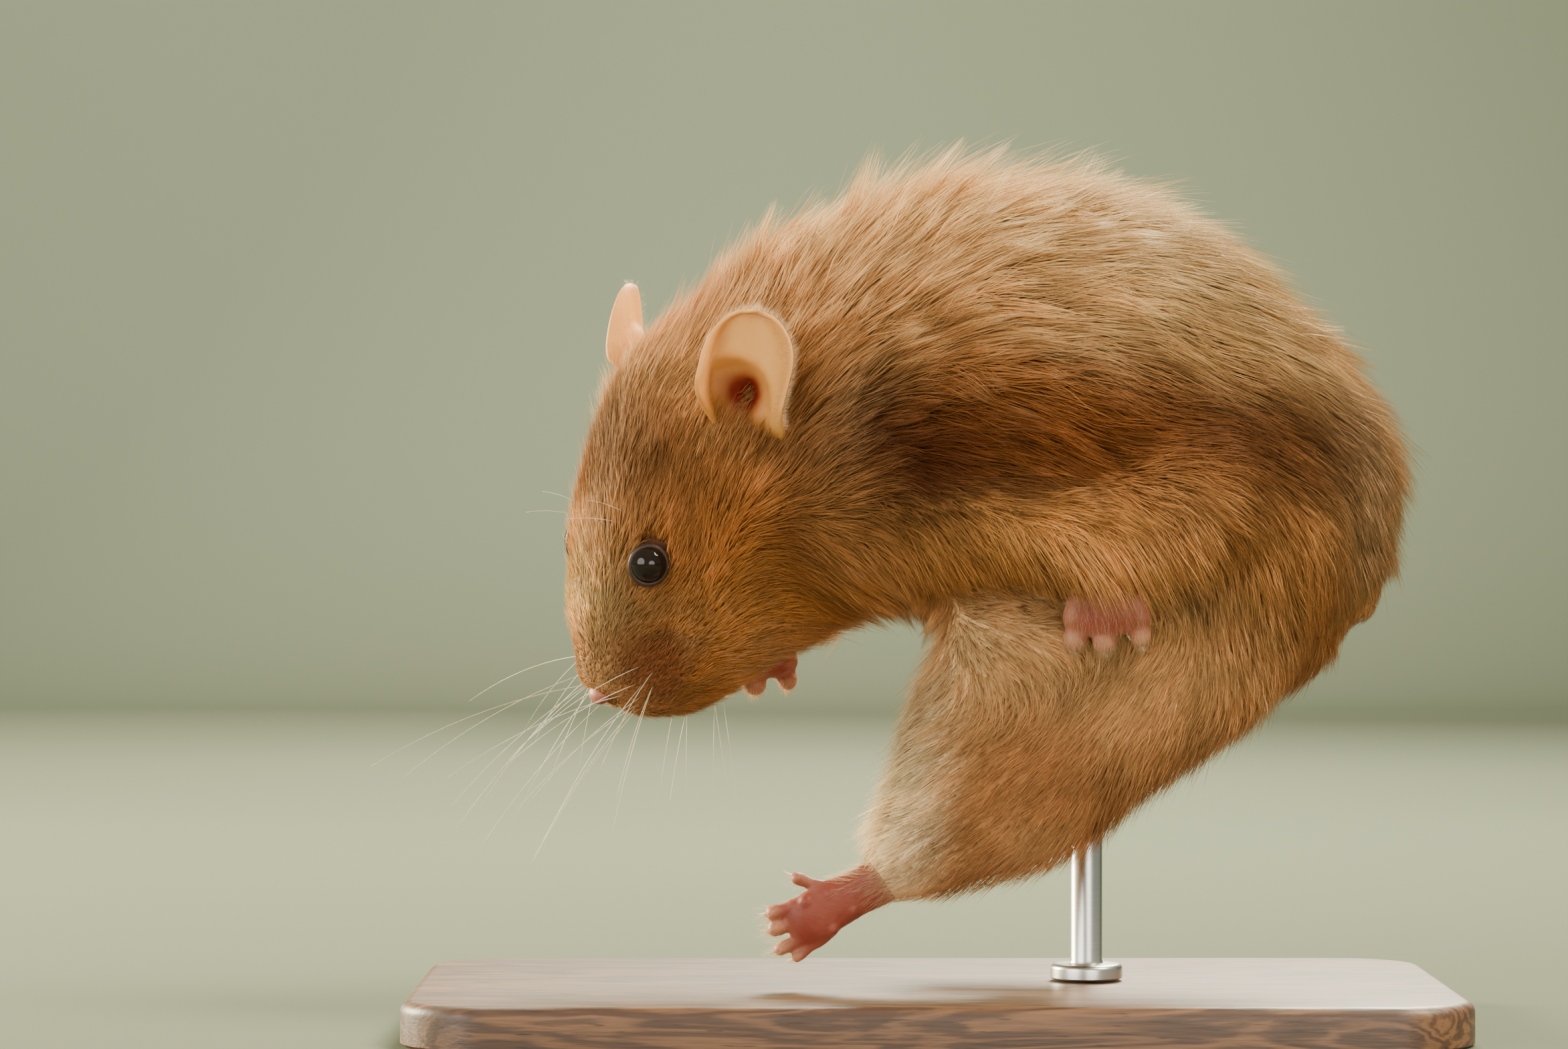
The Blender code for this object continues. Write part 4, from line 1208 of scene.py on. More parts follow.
@dataclass
class Paw:
    """A bare paw with pads and toes; its claws are pieces of their own."""

    name: str
    shape: PawShape
    wrist_mm: tuple
    towards: tuple
    back: tuple
    side: int
    voxel_mm: float = 0.27

    def frame(self) -> Array:
        """The paw's axes, a row each."""
        x = unit(np.array(self.towards, float))
        z = unit(np.array(self.back) - x * (x @ np.array(self.back)))
        return np.stack([x, np.cross(z, x) * self.side, z])

    def toe_path(self, toe: tuple, steps: int = 12) -> tuple[Array, Array]:
        """A toe's centre line, bending steadily to the sole, and its radius: knuckles, then a round end.

        Args:
            toe: Its row in the paw's shape.
            steps: Points along it.

        Returns:
            The points of the line and the radius at each.
        """
        along, across, length, splay, radius = toe
        t = np.linspace(0, 1, steps)
        turn = np.radians(splay)
        bend = np.radians(self.shape.curl) * (0.4 + 1.2 * t)
        reach = length - radius
        heading = np.stack([np.cos(bend) * np.cos(turn), np.cos(bend) * np.sin(turn), -np.sin(bend)], -1)
        toe_line = np.array([along, across, 0.0]) + np.cumsum(heading * reach / steps, axis=0)
        start = np.array([[along - 2.2, across * 0.75, 0.0], [along - 1.1, across * 0.9, 0.05]])
        girth = radius * (1.0 - 0.12 * np.sin(np.pi * t) ** 2 + 0.06 * np.sin(3 * np.pi * t) - 0.12 * t)
        return np.concatenate([start, toe_line]), np.concatenate([[radius, radius * 1.05], girth])

    def solid(self) -> Surface:
        """The palm's lobes, its pads and its toes made one skin; the palm is flattened towards the sole."""
        parts = []
        flat = np.diag([1.0, 1.0, self.shape.flatness])
        lobes = np.array(self.shape.palm, float)
        for a, b in zip(lobes[:-1], lobes[1:]):
            for t in np.linspace(0, 1, 5):
                x, y, z, r = a + (b - a) * t
                parts.append(ellipsoid(np.array([x, y, z]), flat, np.array([r, r, r]), 12))
        for toe in self.shape.toes:
            path, radii = self.toe_path(toe)
            parts.append(facing_out(tube(path, radii, 12, 0.9)))
            end = ellipsoid(path[-1], np.eye(3), np.full(3, radii[-1] * 1.02), 10)
            pad = ellipsoid(path[-1] + np.array([0, 0, -0.35]), np.eye(3), np.full(3, radii[-1] * 0.9), 10)
            parts += [end, pad]
        for along, across, radius in self.shape.pads:
            depth = -self.shape.flatness * 3.1 + radius * 0.80
            parts.append(ellipsoid(np.array([along, across, depth]), np.eye(3), np.full(3, radius), 10))
        whole = Surface.joined([facing_out(part) for part in parts])
        whole.verts *= MM
        return whole.remeshed(self.voxel_mm * MM).smoothed(4)

    def to_world(self, points: Array) -> Array:
        """Points in the paw's frame, in metres, as points in the model's."""
        return np.array(self.wrist_mm) * MM + points @ self.frame()

    def build(self) -> Piece:
        """The paw in place; blood shows on the palm and between the toes, less at their ends."""
        solid = self.solid()
        local = solid.verts / MM
        longest = max(toe[0] + toe[2] for toe in self.shape.toes)
        ends = ramp(longest - 4.6, longest - 1.0, local[:, 0])
        edge = ramp(0.45, 1.05, np.abs(local[:, 1]) / 5.6)
        flush = np.clip(0.95 - 0.85 * ends - 0.45 * edge, 0.05, 1)
        flush *= 0.55 + 0.45 * ramp(-2.5, 0.5, local[:, 0])
        placed = facing_out(Surface(self.to_world(solid.verts), solid.tris))
        return Piece(placed, Finish.PAW, flush)

    def claws(self) -> Surface:
        """A short curved cone at each toe's end, bending to the sole."""
        parts = []
        for toe in self.shape.toes:
            path, radii = self.toe_path(toe)
            heading = unit(path[-1] - path[-2])
            t = np.linspace(0, 1, 9)
            droop = np.stack([np.zeros_like(t), 0.35 * t**2, -0.5 * t**2], -1)
            line = path[-1] + heading * (0.45 * radii[-1] + 1.45 * t[:, None]) + np.array([0, 0, 0.2]) + droop
            girth = 0.24 * (1 - t) ** 0.7 + 0.02
            parts.append(tube(line, girth, 10, 0.8))
        whole = Surface.joined(parts)
        return facing_out(Surface(self.to_world(whole.verts * MM), whole.tris))


EARS = (
    Ear((-28.2, -16.9, 81.2), (0.16, -0.14, 0.97), (-0.30, -0.93, -0.12), 1),
    Ear((-41.4, 9.5, 87.6), (-0.10, 0.12, 0.98), (-0.96, 0.20, -0.05), -1, 15.6, 13.0, rolled=0.3),
)
PAW_SET = (
    Paw("forepaw_left", FOREPAW, (22.8, -24.6, 58.0), (0.02, 0.02, -1), (-0.05, -1, 0.10), 1),
    Paw("forepaw_right", FOREPAW, (-24, 19.2, 51), (-0.06, 0.10, -0.99), (-0.30, 0.95, 0), -1),
    Paw("hindfoot_left", HINDFOOT, (-8.8, -13.5, 20.1), (-0.883, -0.02, -0.47), (-0.06, 1, 0.1), 1),
    Paw("hindfoot_right", HINDFOOT, (14.5, 15, 27.5), (-0.96, -0.02, 0.10), (0.10, 0.25, 0.96), -1),
)


@dataclass
class Skin:
    """One skin over the whole animal, a coat's depth inside the solids.

    The fields say how far the solids swell to close their cuts, the cell size, rounds of smoothing, the size
    of the flesh behind each eye in eyes, the depths of the face's folds and of the tuck and swell of the
    flank, the flank's edge, and the down's hairs to a square millimetre.
    """

    closing_mm: float = 0.25
    voxel_mm: float = 0.76
    evening: int = 26
    eye_fill: float = 1.10
    socket_mm: float = 1.0
    lip_mm: float = 0.55
    mouth_mm: float = 0.5
    pleat_mm: float = 0.6
    lid_mm: float = 0.42
    tuck_mm: float = 4.2
    swell_mm: float = 2.8
    flank_x: tuple = (-12, -2, 7, 16, 25, 31, 36, 48)
    flank_z: tuple = (63, 65.0, 65.8, 64.8, 65.5, 68.5, 70.0, 69)
    rim_down: float = 24.0
    back_down: float = 3.0
    paw_down: float = 11.0
    body: Surface | None = None
    pieces: list = field(default_factory=list)
    obj: Object | None = None

    def build_body(self) -> Surface:
        """Closes the cuts between the solids, evens them out and moves them in by the coat's depth."""
        parts = []
        for name in FLESH:
            solid = Surface.of_object(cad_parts[name])
            parts.append(Surface(solid.verts + solid.normals() * self.closing_mm * MM, solid.tris))
        for eye in EYES:
            parts.append(ellipsoid(eye, np.eye(3), np.full(3, EYE_RADIUS * self.eye_fill), 14))
        outer = Surface.joined(parts).remeshed(self.voxel_mm * MM).smoothed(self.evening)
        outward = unit(diffused(outer.normals(), outer.tris, 6))
        depth = COAT_MAP.size(outer.verts, "depth")[:, None]
        inner = Surface(outer.verts - outward * depth, outer.tris).remeshed(self.voxel_mm * MM)
        return self.sculpted(largest_part(inner).smoothed(4))

    def sculpted(self, body: Surface) -> Surface:
        """Presses the face's folds in: the eye sockets, the split of the lip and the mouth's line.

        Formula: each fold is a bell-shaped groove about a line in the head's axes, faded out at its ends, and
        the vertices go in by the sum of the grooves along their normals.

        Args:
            body: The smooth body.

        Returns:
            The body with its folds.
        """
        normals = body.normals()
        move = np.zeros(len(body.verts))
        for eye in EYES:
            far = np.linalg.norm(body.verts - eye, axis=1) / EYE_RADIUS
            move -= self.socket_mm * np.exp(-((far / 1.16) ** 4))
        offset = body.verts - HEAD.nose
        forward, left, up = (offset @ axis / MM for axis in (HEAD.forward, HEAD.left, HEAD.up))
        near = ramp(9, 4, np.linalg.norm(offset, axis=1) / MM)
        split = np.exp(-((left / 0.55) ** 2)) * ramp(-1.0, -2.0, up) * near
        lips = np.exp(-(((up + 7.2 + 0.10 * left**2) / 0.8) ** 2)) * ramp(-13, -6, forward)
        pad = np.hypot(forward + 6.5, up + 5.0)
        wide = np.abs(left)
        pleat = np.exp(-(((pad - 5.6) / 0.8) ** 2)) * ramp(-7.5, -10.5, forward)
        pleat = pleat * ramp(2.0, 4.0, wide)
        lips = self.mouth_mm * lips * ramp(7.0, 5.0, wide)
        move -= self.lip_mm * split + lips + self.pleat_mm * pleat
        return self.folded(Surface(body.verts + normals * move[:, None] * MM, body.tris))

    def folded(self, body: Surface) -> Surface:
        """Tucks the body in under the roll of each flank, so that the flank's coat overhangs.

        Formula: below a line that runs back along the flank, each side is drawn in by a depth that is
        greatest just under the line and dies away over a centimetre; just above it the side swells.

        Args:
            body: The body.

        Returns:
            The folded body, a little smoothed.
        """
        x, y, _ = (body.verts / MM).T
        below = -above_flank(body.verts)
        along = ramp(-2, 9, x) * ramp(46, 36, x)
        side = ramp(6, 16, np.abs(y)) * np.sign(y)
        tuck = self.tuck_mm * ramp(-1.0, 1.5, below) * ramp(13, 3, below)
        swell = self.swell_mm * np.exp(-(((below + 3.5) / 4.0) ** 2)) * ramp(-4, 8, x)
        moved = body.verts.copy()
        moved[:, 1] -= (tuck - swell) * along * side * MM
        return Surface(moved, body.tris).smoothed(2)

    def nose(self) -> Piece:
        """The bare nose: a soft heart-shaped pad with a nostril each side and a groove under the middle."""
        axes = np.stack([HEAD.forward, HEAD.left, HEAD.up])
        pad = ellipsoid(np.zeros(3), np.eye(3), np.array([1.45, 2.0, 1.35]), 40)
        x, y, z = pad.verts.T
        ahead, height = ((x - 0.9) / 0.8) ** 2, ((z + 0.25) / 0.5) ** 2
        nostril = sum(np.exp(-(ahead + ((y - side * 1.25) / 0.42) ** 2 + height)) for side in (-1, 1))
        groove = np.exp(-((y / 0.28) ** 2)) * ramp(0.4, -0.6, z)
        shaped = pad.verts * (1 - 0.42 * nostril - 0.12 * groove)[:, None]
        flush = np.clip(0.55 + 0.5 * nostril, 0, 1)
        placed = facing_out(Surface(HEAD.place(-0.95, 0, 0.1) + MM * shaped @ axes, pad.tris))
        return Piece(placed, Finish.NOSE, flush)

    def lids(self) -> list[Piece]:
        """A narrow dark rim round each eye, a little almond in shape."""
        found = []
        for eye, side in zip(EYES, (1, -1)):
            out = unit(HEAD.turn(0.1, 0.85 * side, 0.45))
            along = unit(HEAD.forward - out * (out @ HEAD.forward))
            across = np.cross(out, along)
            angle = np.linspace(0, 2 * np.pi, 72, endpoint=False)[:, None]
            ring = EYE_RADIUS * (0.93 * np.cos(angle) * along + 0.86 * np.sin(angle) * across)
            path = eye + out * EYE_RADIUS * 0.36 + ring * 0.955
            turn = np.linspace(0, 2 * np.pi, 12, endpoint=False)[None, :, None]
            outward = unit(ring)[:, None]
            points = path[:, None] + self.lid_mm * MM * (np.cos(turn) * outward + np.sin(turn) * out)
            closed = np.concatenate([points, points[:1]])
            surface = facing_out(closed_grid(closed))
            found.append(Piece(surface, Finish.LID, np.zeros(len(surface.verts))))
        return found

    def build(self, materials: list[Material]) -> Object:
        """Joins the body, ears, paws, nose and lids in one object and unwraps it.

        Args:
            materials: The materials, in the order of Finish.

        Returns:
            The skin.
        """
        self.body = self.build_body()
        self.pieces = pieces = [Piece(self.body, Finish.UNDERCOAT, np.zeros(len(self.body.verts)))]
        pieces += [ear.build() for ear in EARS]
        pieces += [paw.build() for paw in PAW_SET]
        pieces += [self.nose()] + self.lids()
        whole = Surface.joined([piece.surface for piece in pieces])
        self.obj = whole.to_object("skin")
        mesh = self.obj.data
        for material in materials:
            mesh.materials.append(material)
        finish = np.concatenate([np.full(len(p.surface.tris), p.finish.value, np.int32) for p in pieces])
        mesh.polygons.foreach_set("material_index", finish)
        keep_at_vertices(mesh, "flush", np.concatenate([piece.flush for piece in pieces]))
        self.unwrap()
        log.info("skin: %d triangles", len(whole.tris))
        return finished(self.obj, "coat", nodes=(*FLESH, *PAWS, "ear_left", "ear_right", "nose"))

    def unwrap(self) -> None:
        """Lays the skin out flat, in islands cut by angle, as its map named OFBake."""
        mesh = self.obj.data
        mesh.uv_layers.new(name="OFBake")
        bpy.context.view_layer.objects.active = self.obj
        self.obj.select_set(True)
        bpy.ops.object.mode_set(mode="EDIT")
        bpy.ops.mesh.select_all(action="SELECT")
        bpy.ops.uv.smart_project(angle_limit=math.radians(66), island_margin=0.002)
        bpy.ops.object.mode_set(mode="OBJECT")
        self.obj.select_set(False)

    def piece_uv(self, number: int = 0) -> Array:
        """The map of one of the joined pieces, one place per triangle corner; the body is number 0."""
        layer = self.obj.data.uv_layers["OFBake"]
        values = np.empty(len(self.obj.data.loops) * 2, np.float32)
        layer.data.foreach_get("uv", values)
        starts = np.cumsum([0] + [len(piece.surface.tris) for piece in self.pieces])
        return values.reshape(-1, 3, 2)[starts[number] : starts[number + 1]]

    def velvet_grounds(self) -> list[tuple]:
        """Where the down grows: (name, surface, map, direction, hairs per square millimetre) rows.

        Down is thick on an ear's rim and thin on its back; on a paw it grows on the wrist, the edges and the
        ends of the toes.
        """
        found = []
        for number, ear in enumerate(EARS):
            surface = self.pieces[1 + number].surface
            up, across, out = ear.axes()
            offset = (surface.verts - np.array(ear.root_mm) * MM) / MM
            high, wide = offset @ up, offset @ across
            rim = ramp(0.80, 0.97, np.hypot(np.clip(high - 9.5, 0, None) / 7.6, wide / 7.0))
            rim *= ramp(1.0, 4.0, high)
            back = (surface.normals() @ out < 0) * ramp(-1.0, 2.0, high)
            away = unit(np.clip(high - 8, 0, None)[:, None] * up + wide[:, None] * across * 1.2 + 2.0 * up)
            name = "ear_" + ("left" if number == 0 else "right")
            density = self.rim_down * rim + self.back_down * back
            found.append((name, surface, self.piece_uv(1 + number), away, density))
        for number, paw in enumerate(PAW_SET):
            surface = self.pieces[3 + number].surface
            local = (surface.verts - np.array(paw.wrist_mm) * MM) @ paw.frame().T / MM
            longest = max(toe[0] + toe[2] for toe in paw.shape.toes)
            fore = paw.shape is FOREPAW
            ends = ramp(longest - 4.0, longest - 1.5, local[:, 0]) * (1.0 if fore else 0.4)
            wrist = ramp(0.5 if fore else 2.0, -2.0, local[:, 0])
            edge = ramp(0.8, 2.4, local[:, 1]) * ramp(4.5, 1.5, local[:, 0]) * (not fore)
            upper = ramp(0.2, 1.4, local[:, 2]) * (0.35 if fore else 0.8)
            share = np.clip(np.maximum.reduce([ends, wrist, upper, edge]), 0, 1)
            towards = paw.frame()[0] + 0.6 * edge[:, None] * paw.frame()[1]
            found.append((paw.name, surface, self.piece_uv(3 + number), towards, self.paw_down * share))
        return found


def largest_part(surface: Surface) -> Surface:
    """Keeps the one part with the most vertices, by spreading the lowest vertex number over each part.

    Args:
        surface: One or more parts in one mesh.

    Returns:
        The greatest part.
    """
    a, b = edges_of(surface.tris).T
    label = np.arange(len(surface.verts))
    while True:
        lowest = label.copy()
        np.minimum.at(lowest, a, label[b])
        np.minimum.at(lowest, b, label[a])
        lowest = lowest[lowest]
        if (lowest == label).all():
            break
        label = lowest
    keep = label == np.bincount(label).argmax()
    index = np.cumsum(keep) - 1
    return Surface(surface.verts[keep], index[surface.tris[keep[surface.tris[:, 0]]]])


# ---- coat


def above_flank(points: Array) -> Array:
    """How many millimetres points are above the edge of the flank's roll."""
    return points[..., 2] / MM - np.interp(points[..., 0] / MM, Skin.flank_x, Skin.flank_z)


def arched(place: Array, way: Array, bend: Array, length: Array, steps: int) -> Array:
    """Hairs that leave the skin and bend: place + length * (t * way + t ** 2 * bend) at each t."""
    t = np.linspace(0, 1, steps + 1)[None, :, None]
    return place[:, None] + length[:, None, None] * (t * way[:, None] + t**2 * bend[:, None])


@dataclass
class NearSkin:
    """Finds the skin vertex nearest to any point close to the body.

    A grid of cells covers the animal. Each cell that holds a vertex starts with its number, and numbers
    spread from cell to neighbouring cell, in long steps and then short ones, the nearer vertex winning.
    """

    verts: Array
    cell: float = 1.4 * MM
    margin: float = 12.0 * MM
    low: Array = field(init=False)
    grid: Array = field(init=False)

    def __post_init__(self) -> None:
        """Fills the grid."""
        self.low = self.verts.min(0) - self.margin
        shape = np.ceil((self.verts.max(0) + self.margin - self.low) / self.cell).astype(int) + 1
        grid = np.full(shape, -1, np.int32)
        i, j, k = self.cells(self.verts, shape).T
        grid[i, j, k] = np.arange(len(self.verts))
        centres = np.stack(np.meshgrid(*[np.arange(n) for n in shape], indexing="ij"), -1) + 0.5
        centres = (centres * self.cell + self.low).astype(np.float32)
        verts = self.verts.astype(np.float32)
        far = np.full(shape, np.inf, np.float32)
        held = grid >= 0
        far[held] = ((centres[held] - verts[grid[held]]) ** 2).sum(-1)
        for step in (8, 4, 2, 1, 1):
            for axis in range(3):
                for way in (-step, step):
                    offer = np.roll(grid, way, axis)
                    known = offer >= 0
                    reach = np.full(shape, np.inf, np.float32)
                    reach[known] = ((centres[known] - verts[offer[known]]) ** 2).sum(-1)
                    nearer = reach < far
                    grid[nearer] = offer[nearer]
                    far[nearer] = reach[nearer]
        self.grid = grid

    def cells(self, points: Array, shape: tuple) -> Array:
        """Each point's cell, kept inside the grid."""
        found = np.floor((points - self.low) / self.cell).astype(int)
        return np.clip(found, 0, np.array(shape) - 1)

    def nearest(self, points: Array) -> Array:
        """The number of the vertex nearest to each point."""
        i, j, k = self.cells(points, self.grid.shape).T
        return np.maximum(self.grid[i, j, k], 0)


@dataclass(frozen=True)
class Roots:
    """Places on a surface: the triangle each is in, its corner weights, and the place itself."""

    picked: Array
    shares: Array
    place: Array

    def blend(self, corners: Array) -> Array:
        """What values given at each triangle's corners come to at the roots."""
        return (corners[self.picked] * self.shares[..., None]).sum(1)


@dataclass
class Ground:
    """What the coat grows from: the skin's shape, the lie of the hair over it and its map."""

    surface: Surface
    uv: Array
    normals: Array = field(init=False)
    flow: Array = field(init=False)
    near: NearSkin = field(init=False)

    def __post_init__(self) -> None:
        """Works out the lie of the hair at every vertex and evens it out."""
        self.normals = unit(diffused(self.surface.normals(), self.surface.tris, 3))
        flow = COAT_MAP.flow(self.surface.verts, self.normals)
        flow = diffused(flow, self.surface.tris, 10)
        self.flow = unit(flow - (flow * self.normals).sum(1, keepdims=True) * self.normals)
        self.near = NearSkin(self.surface.verts)

    def middles(self) -> Array:
        """The middle of each of the skin's triangles."""
        return self.surface.verts[self.surface.tris].mean(1)

    def hair(self, points: Array, width: Array, roots: Roots) -> "Blades":
        """Blades along these points, their flat sides to the skin at their roots."""
        return Blades(points, width, self.normals[self.near.nearest(roots.place)], roots.blend(self.uv))


def areas(surface: Surface, mine: Array) -> Array:
    """The area of each of these triangles in square millimetres."""
    a, b, c = (surface.verts[surface.tris[mine, k]] for k in range(3))
    return np.linalg.norm(np.cross(b - a, c - a), axis=1) / 2 / MM**2


def scattered(surface: Surface, mine: Array, density: Array, rng: Random) -> Roots:
    """Scatters places over some of a surface's triangles, in proportion to area times density.

    Args:
        surface: The surface.
        mine: The numbers of the triangles to use.
        density: Places wanted per square millimetre on each of them.
        rng: Random numbers.

    Returns:
        The places.
    """
    wanted = np.cumsum(areas(surface, mine) * density)
    count = int(wanted[-1])
    steps = (np.arange(count) + rng.random(count)) * wanted[-1] / count
    picked = mine[np.searchsorted(wanted, steps)]
    x, y = rng.random(count), rng.random(count)
    over = x + y > 1
    x[over], y[over] = 1 - x[over], 1 - y[over]
    shares = np.stack([1 - x - y, x, y], 1)
    return Roots(picked, shares, (surface.verts[surface.tris[picked]] * shares[..., None]).sum(1))


def clumped(points: Array, leaders: Array, clumping: float, rng: Random) -> Array:
    """Draws tufts into locks: towards the tip, each leans to the nearest of those that lead.

    Formula: a tuft's points move towards its leader's by a share that rises as t ** 1.3, has a random
    strength for each lock and each tuft, and dies away where the leader is far off.

    Args:
        points: The tufts' points, root first.
        leaders: The numbers of those that lead.
        clumping: How far the others are drawn in.
        rng: Random numbers.

    Returns:
        The moved points.
    """
    roots = points[:, 0].astype(np.float32)
    nearest = np.empty(len(points), np.int64)
    lead = roots[leaders]
    lead_squared = (lead**2).sum(1)
    for start in range(0, len(points), BLOCK):
        block = roots[start : start + BLOCK]
        nearest[start : start + BLOCK] = (lead_squared[None] - 2 * block @ lead.T).argmin(1)
    guide = points[leaders][nearest]
    pull = clumping * rng.uniform(0.3, 1.6, len(leaders))[nearest] * rng.uniform(0.6, 1.1, len(points))
    t = np.linspace(0, 1, points.shape[1])[None, :]
    share = np.clip(pull[:, None] * t**1.3, 0, 0.9)
    apart = np.linalg.norm(guide[:, 0] - points[:, 0], axis=1)
    wide = 2.0 * np.median(apart)
    share = share * ramp(wide * 1.8, wide * 0.9, apart)[:, None]
    return points + (guide - points) * share[..., None]


@dataclass
class Blades:
    """Hairs and tufts as closed three-sided blades, all in one mesh.

    The arrays hold, for each blade, its centre line, root first, its half width, the way its flat side faces
    and its place on the skin's map.
    """

    points: Array
    width: Array
    over: Array
    root_uv: Array
    flatness: float = 0.6
    patch: float = 0.003

    def faces(self) -> Array:
        """One blade's triangles: the root's cap, the sides ring by ring, and the tip."""
        rings = self.points.shape[1] - 1
        found = [[2, 1, 0]]
        for k in range(rings - 1):
            for a in range(3):
                b = (a + 1) % 3
                low, high = 3 * k, 3 * k + 3
                found += [[low + a, low + b, high + b], [low + a, high + b, high + a]]
        found += [[3 * rings - 3 + a, 3 * rings - 3 + (a + 1) % 3, 3 * rings] for a in range(3)]
        return np.array(found)

    def surface(self) -> Surface:
        """Carries a flattened triangle along each centre line; it swells, then narrows to a tip."""
        count, rings = len(self.points), self.points.shape[1] - 1
        heading = unit(np.gradient(self.points, axis=1))
        across = unit(np.cross(heading, self.over[:, None]))
        over = np.cross(heading, across)
        t = np.linspace(0, 1, rings + 1)[:-1]
        profile = (0.6 + 0.4 * np.sin(np.pi * np.clip(t / 0.7, 0, 1))) * (1 - t**2.5)
        girth = (self.width[:, None] * profile[None])[..., None, None]
        angle = 2 * np.pi * np.arange(3) / 3 - np.pi / 6
        side = np.cos(angle)[:, None] * across[:, :-1, None]
        side = side + self.flatness * np.sin(angle)[:, None] * over[:, :-1, None]
        ring = self.points[:, :-1, None] + girth * side
        verts = np.concatenate([ring.reshape(count, -1, 3), self.points[:, -1:]], 1)
        each, faces = verts.shape[1], self.faces()
        tris = (faces[None] + np.arange(count)[:, None, None] * each).reshape(-1, 3)
        return Surface(verts.reshape(-1, 3), tris)

    def build(self, name: str, slot: str, material: Material, seed: int) -> Object:
        """Makes the piece, with what the hair's finish reads and each blade a small patch of the map.

        Args:
            name: Its name.
            slot: Its material slot.
            material: Its finish.
            seed: Starts the blades' random shades.

        Returns:
            The piece.
        """
        count, rings = len(self.points), self.points.shape[1] - 1
        faces = self.faces()
        obj = self.surface().to_object(name)
        mesh = obj.data
        each = 3 * rings + 1
        t = np.append(np.repeat(np.linspace(0, 1, rings + 1)[:-1], 3), 1.0)
        keep_at_vertices(mesh, "root", np.repeat(self.points[:, 0], each, 0))
        keep_at_vertices(mesh, "along", np.tile(t, count))
        keep_at_vertices(mesh, "chance", np.repeat(np.random.default_rng(seed).random(count), each))
        side = np.append(np.tile([0.5, -0.5, 0.0], rings), 0.0)
        spot = np.stack([side, t - 0.5], 1) * self.patch
        corner = spot[faces].reshape(1, -1, 2) + self.root_uv[:, None]
        mesh.uv_layers.new(name="OFBake").data.foreach_set("uv", corner.astype(np.float32).ravel())
        log.info("%s: %d tufts, %d triangles", name, count, len(faces) * count)
        return finished(obj, slot, material)


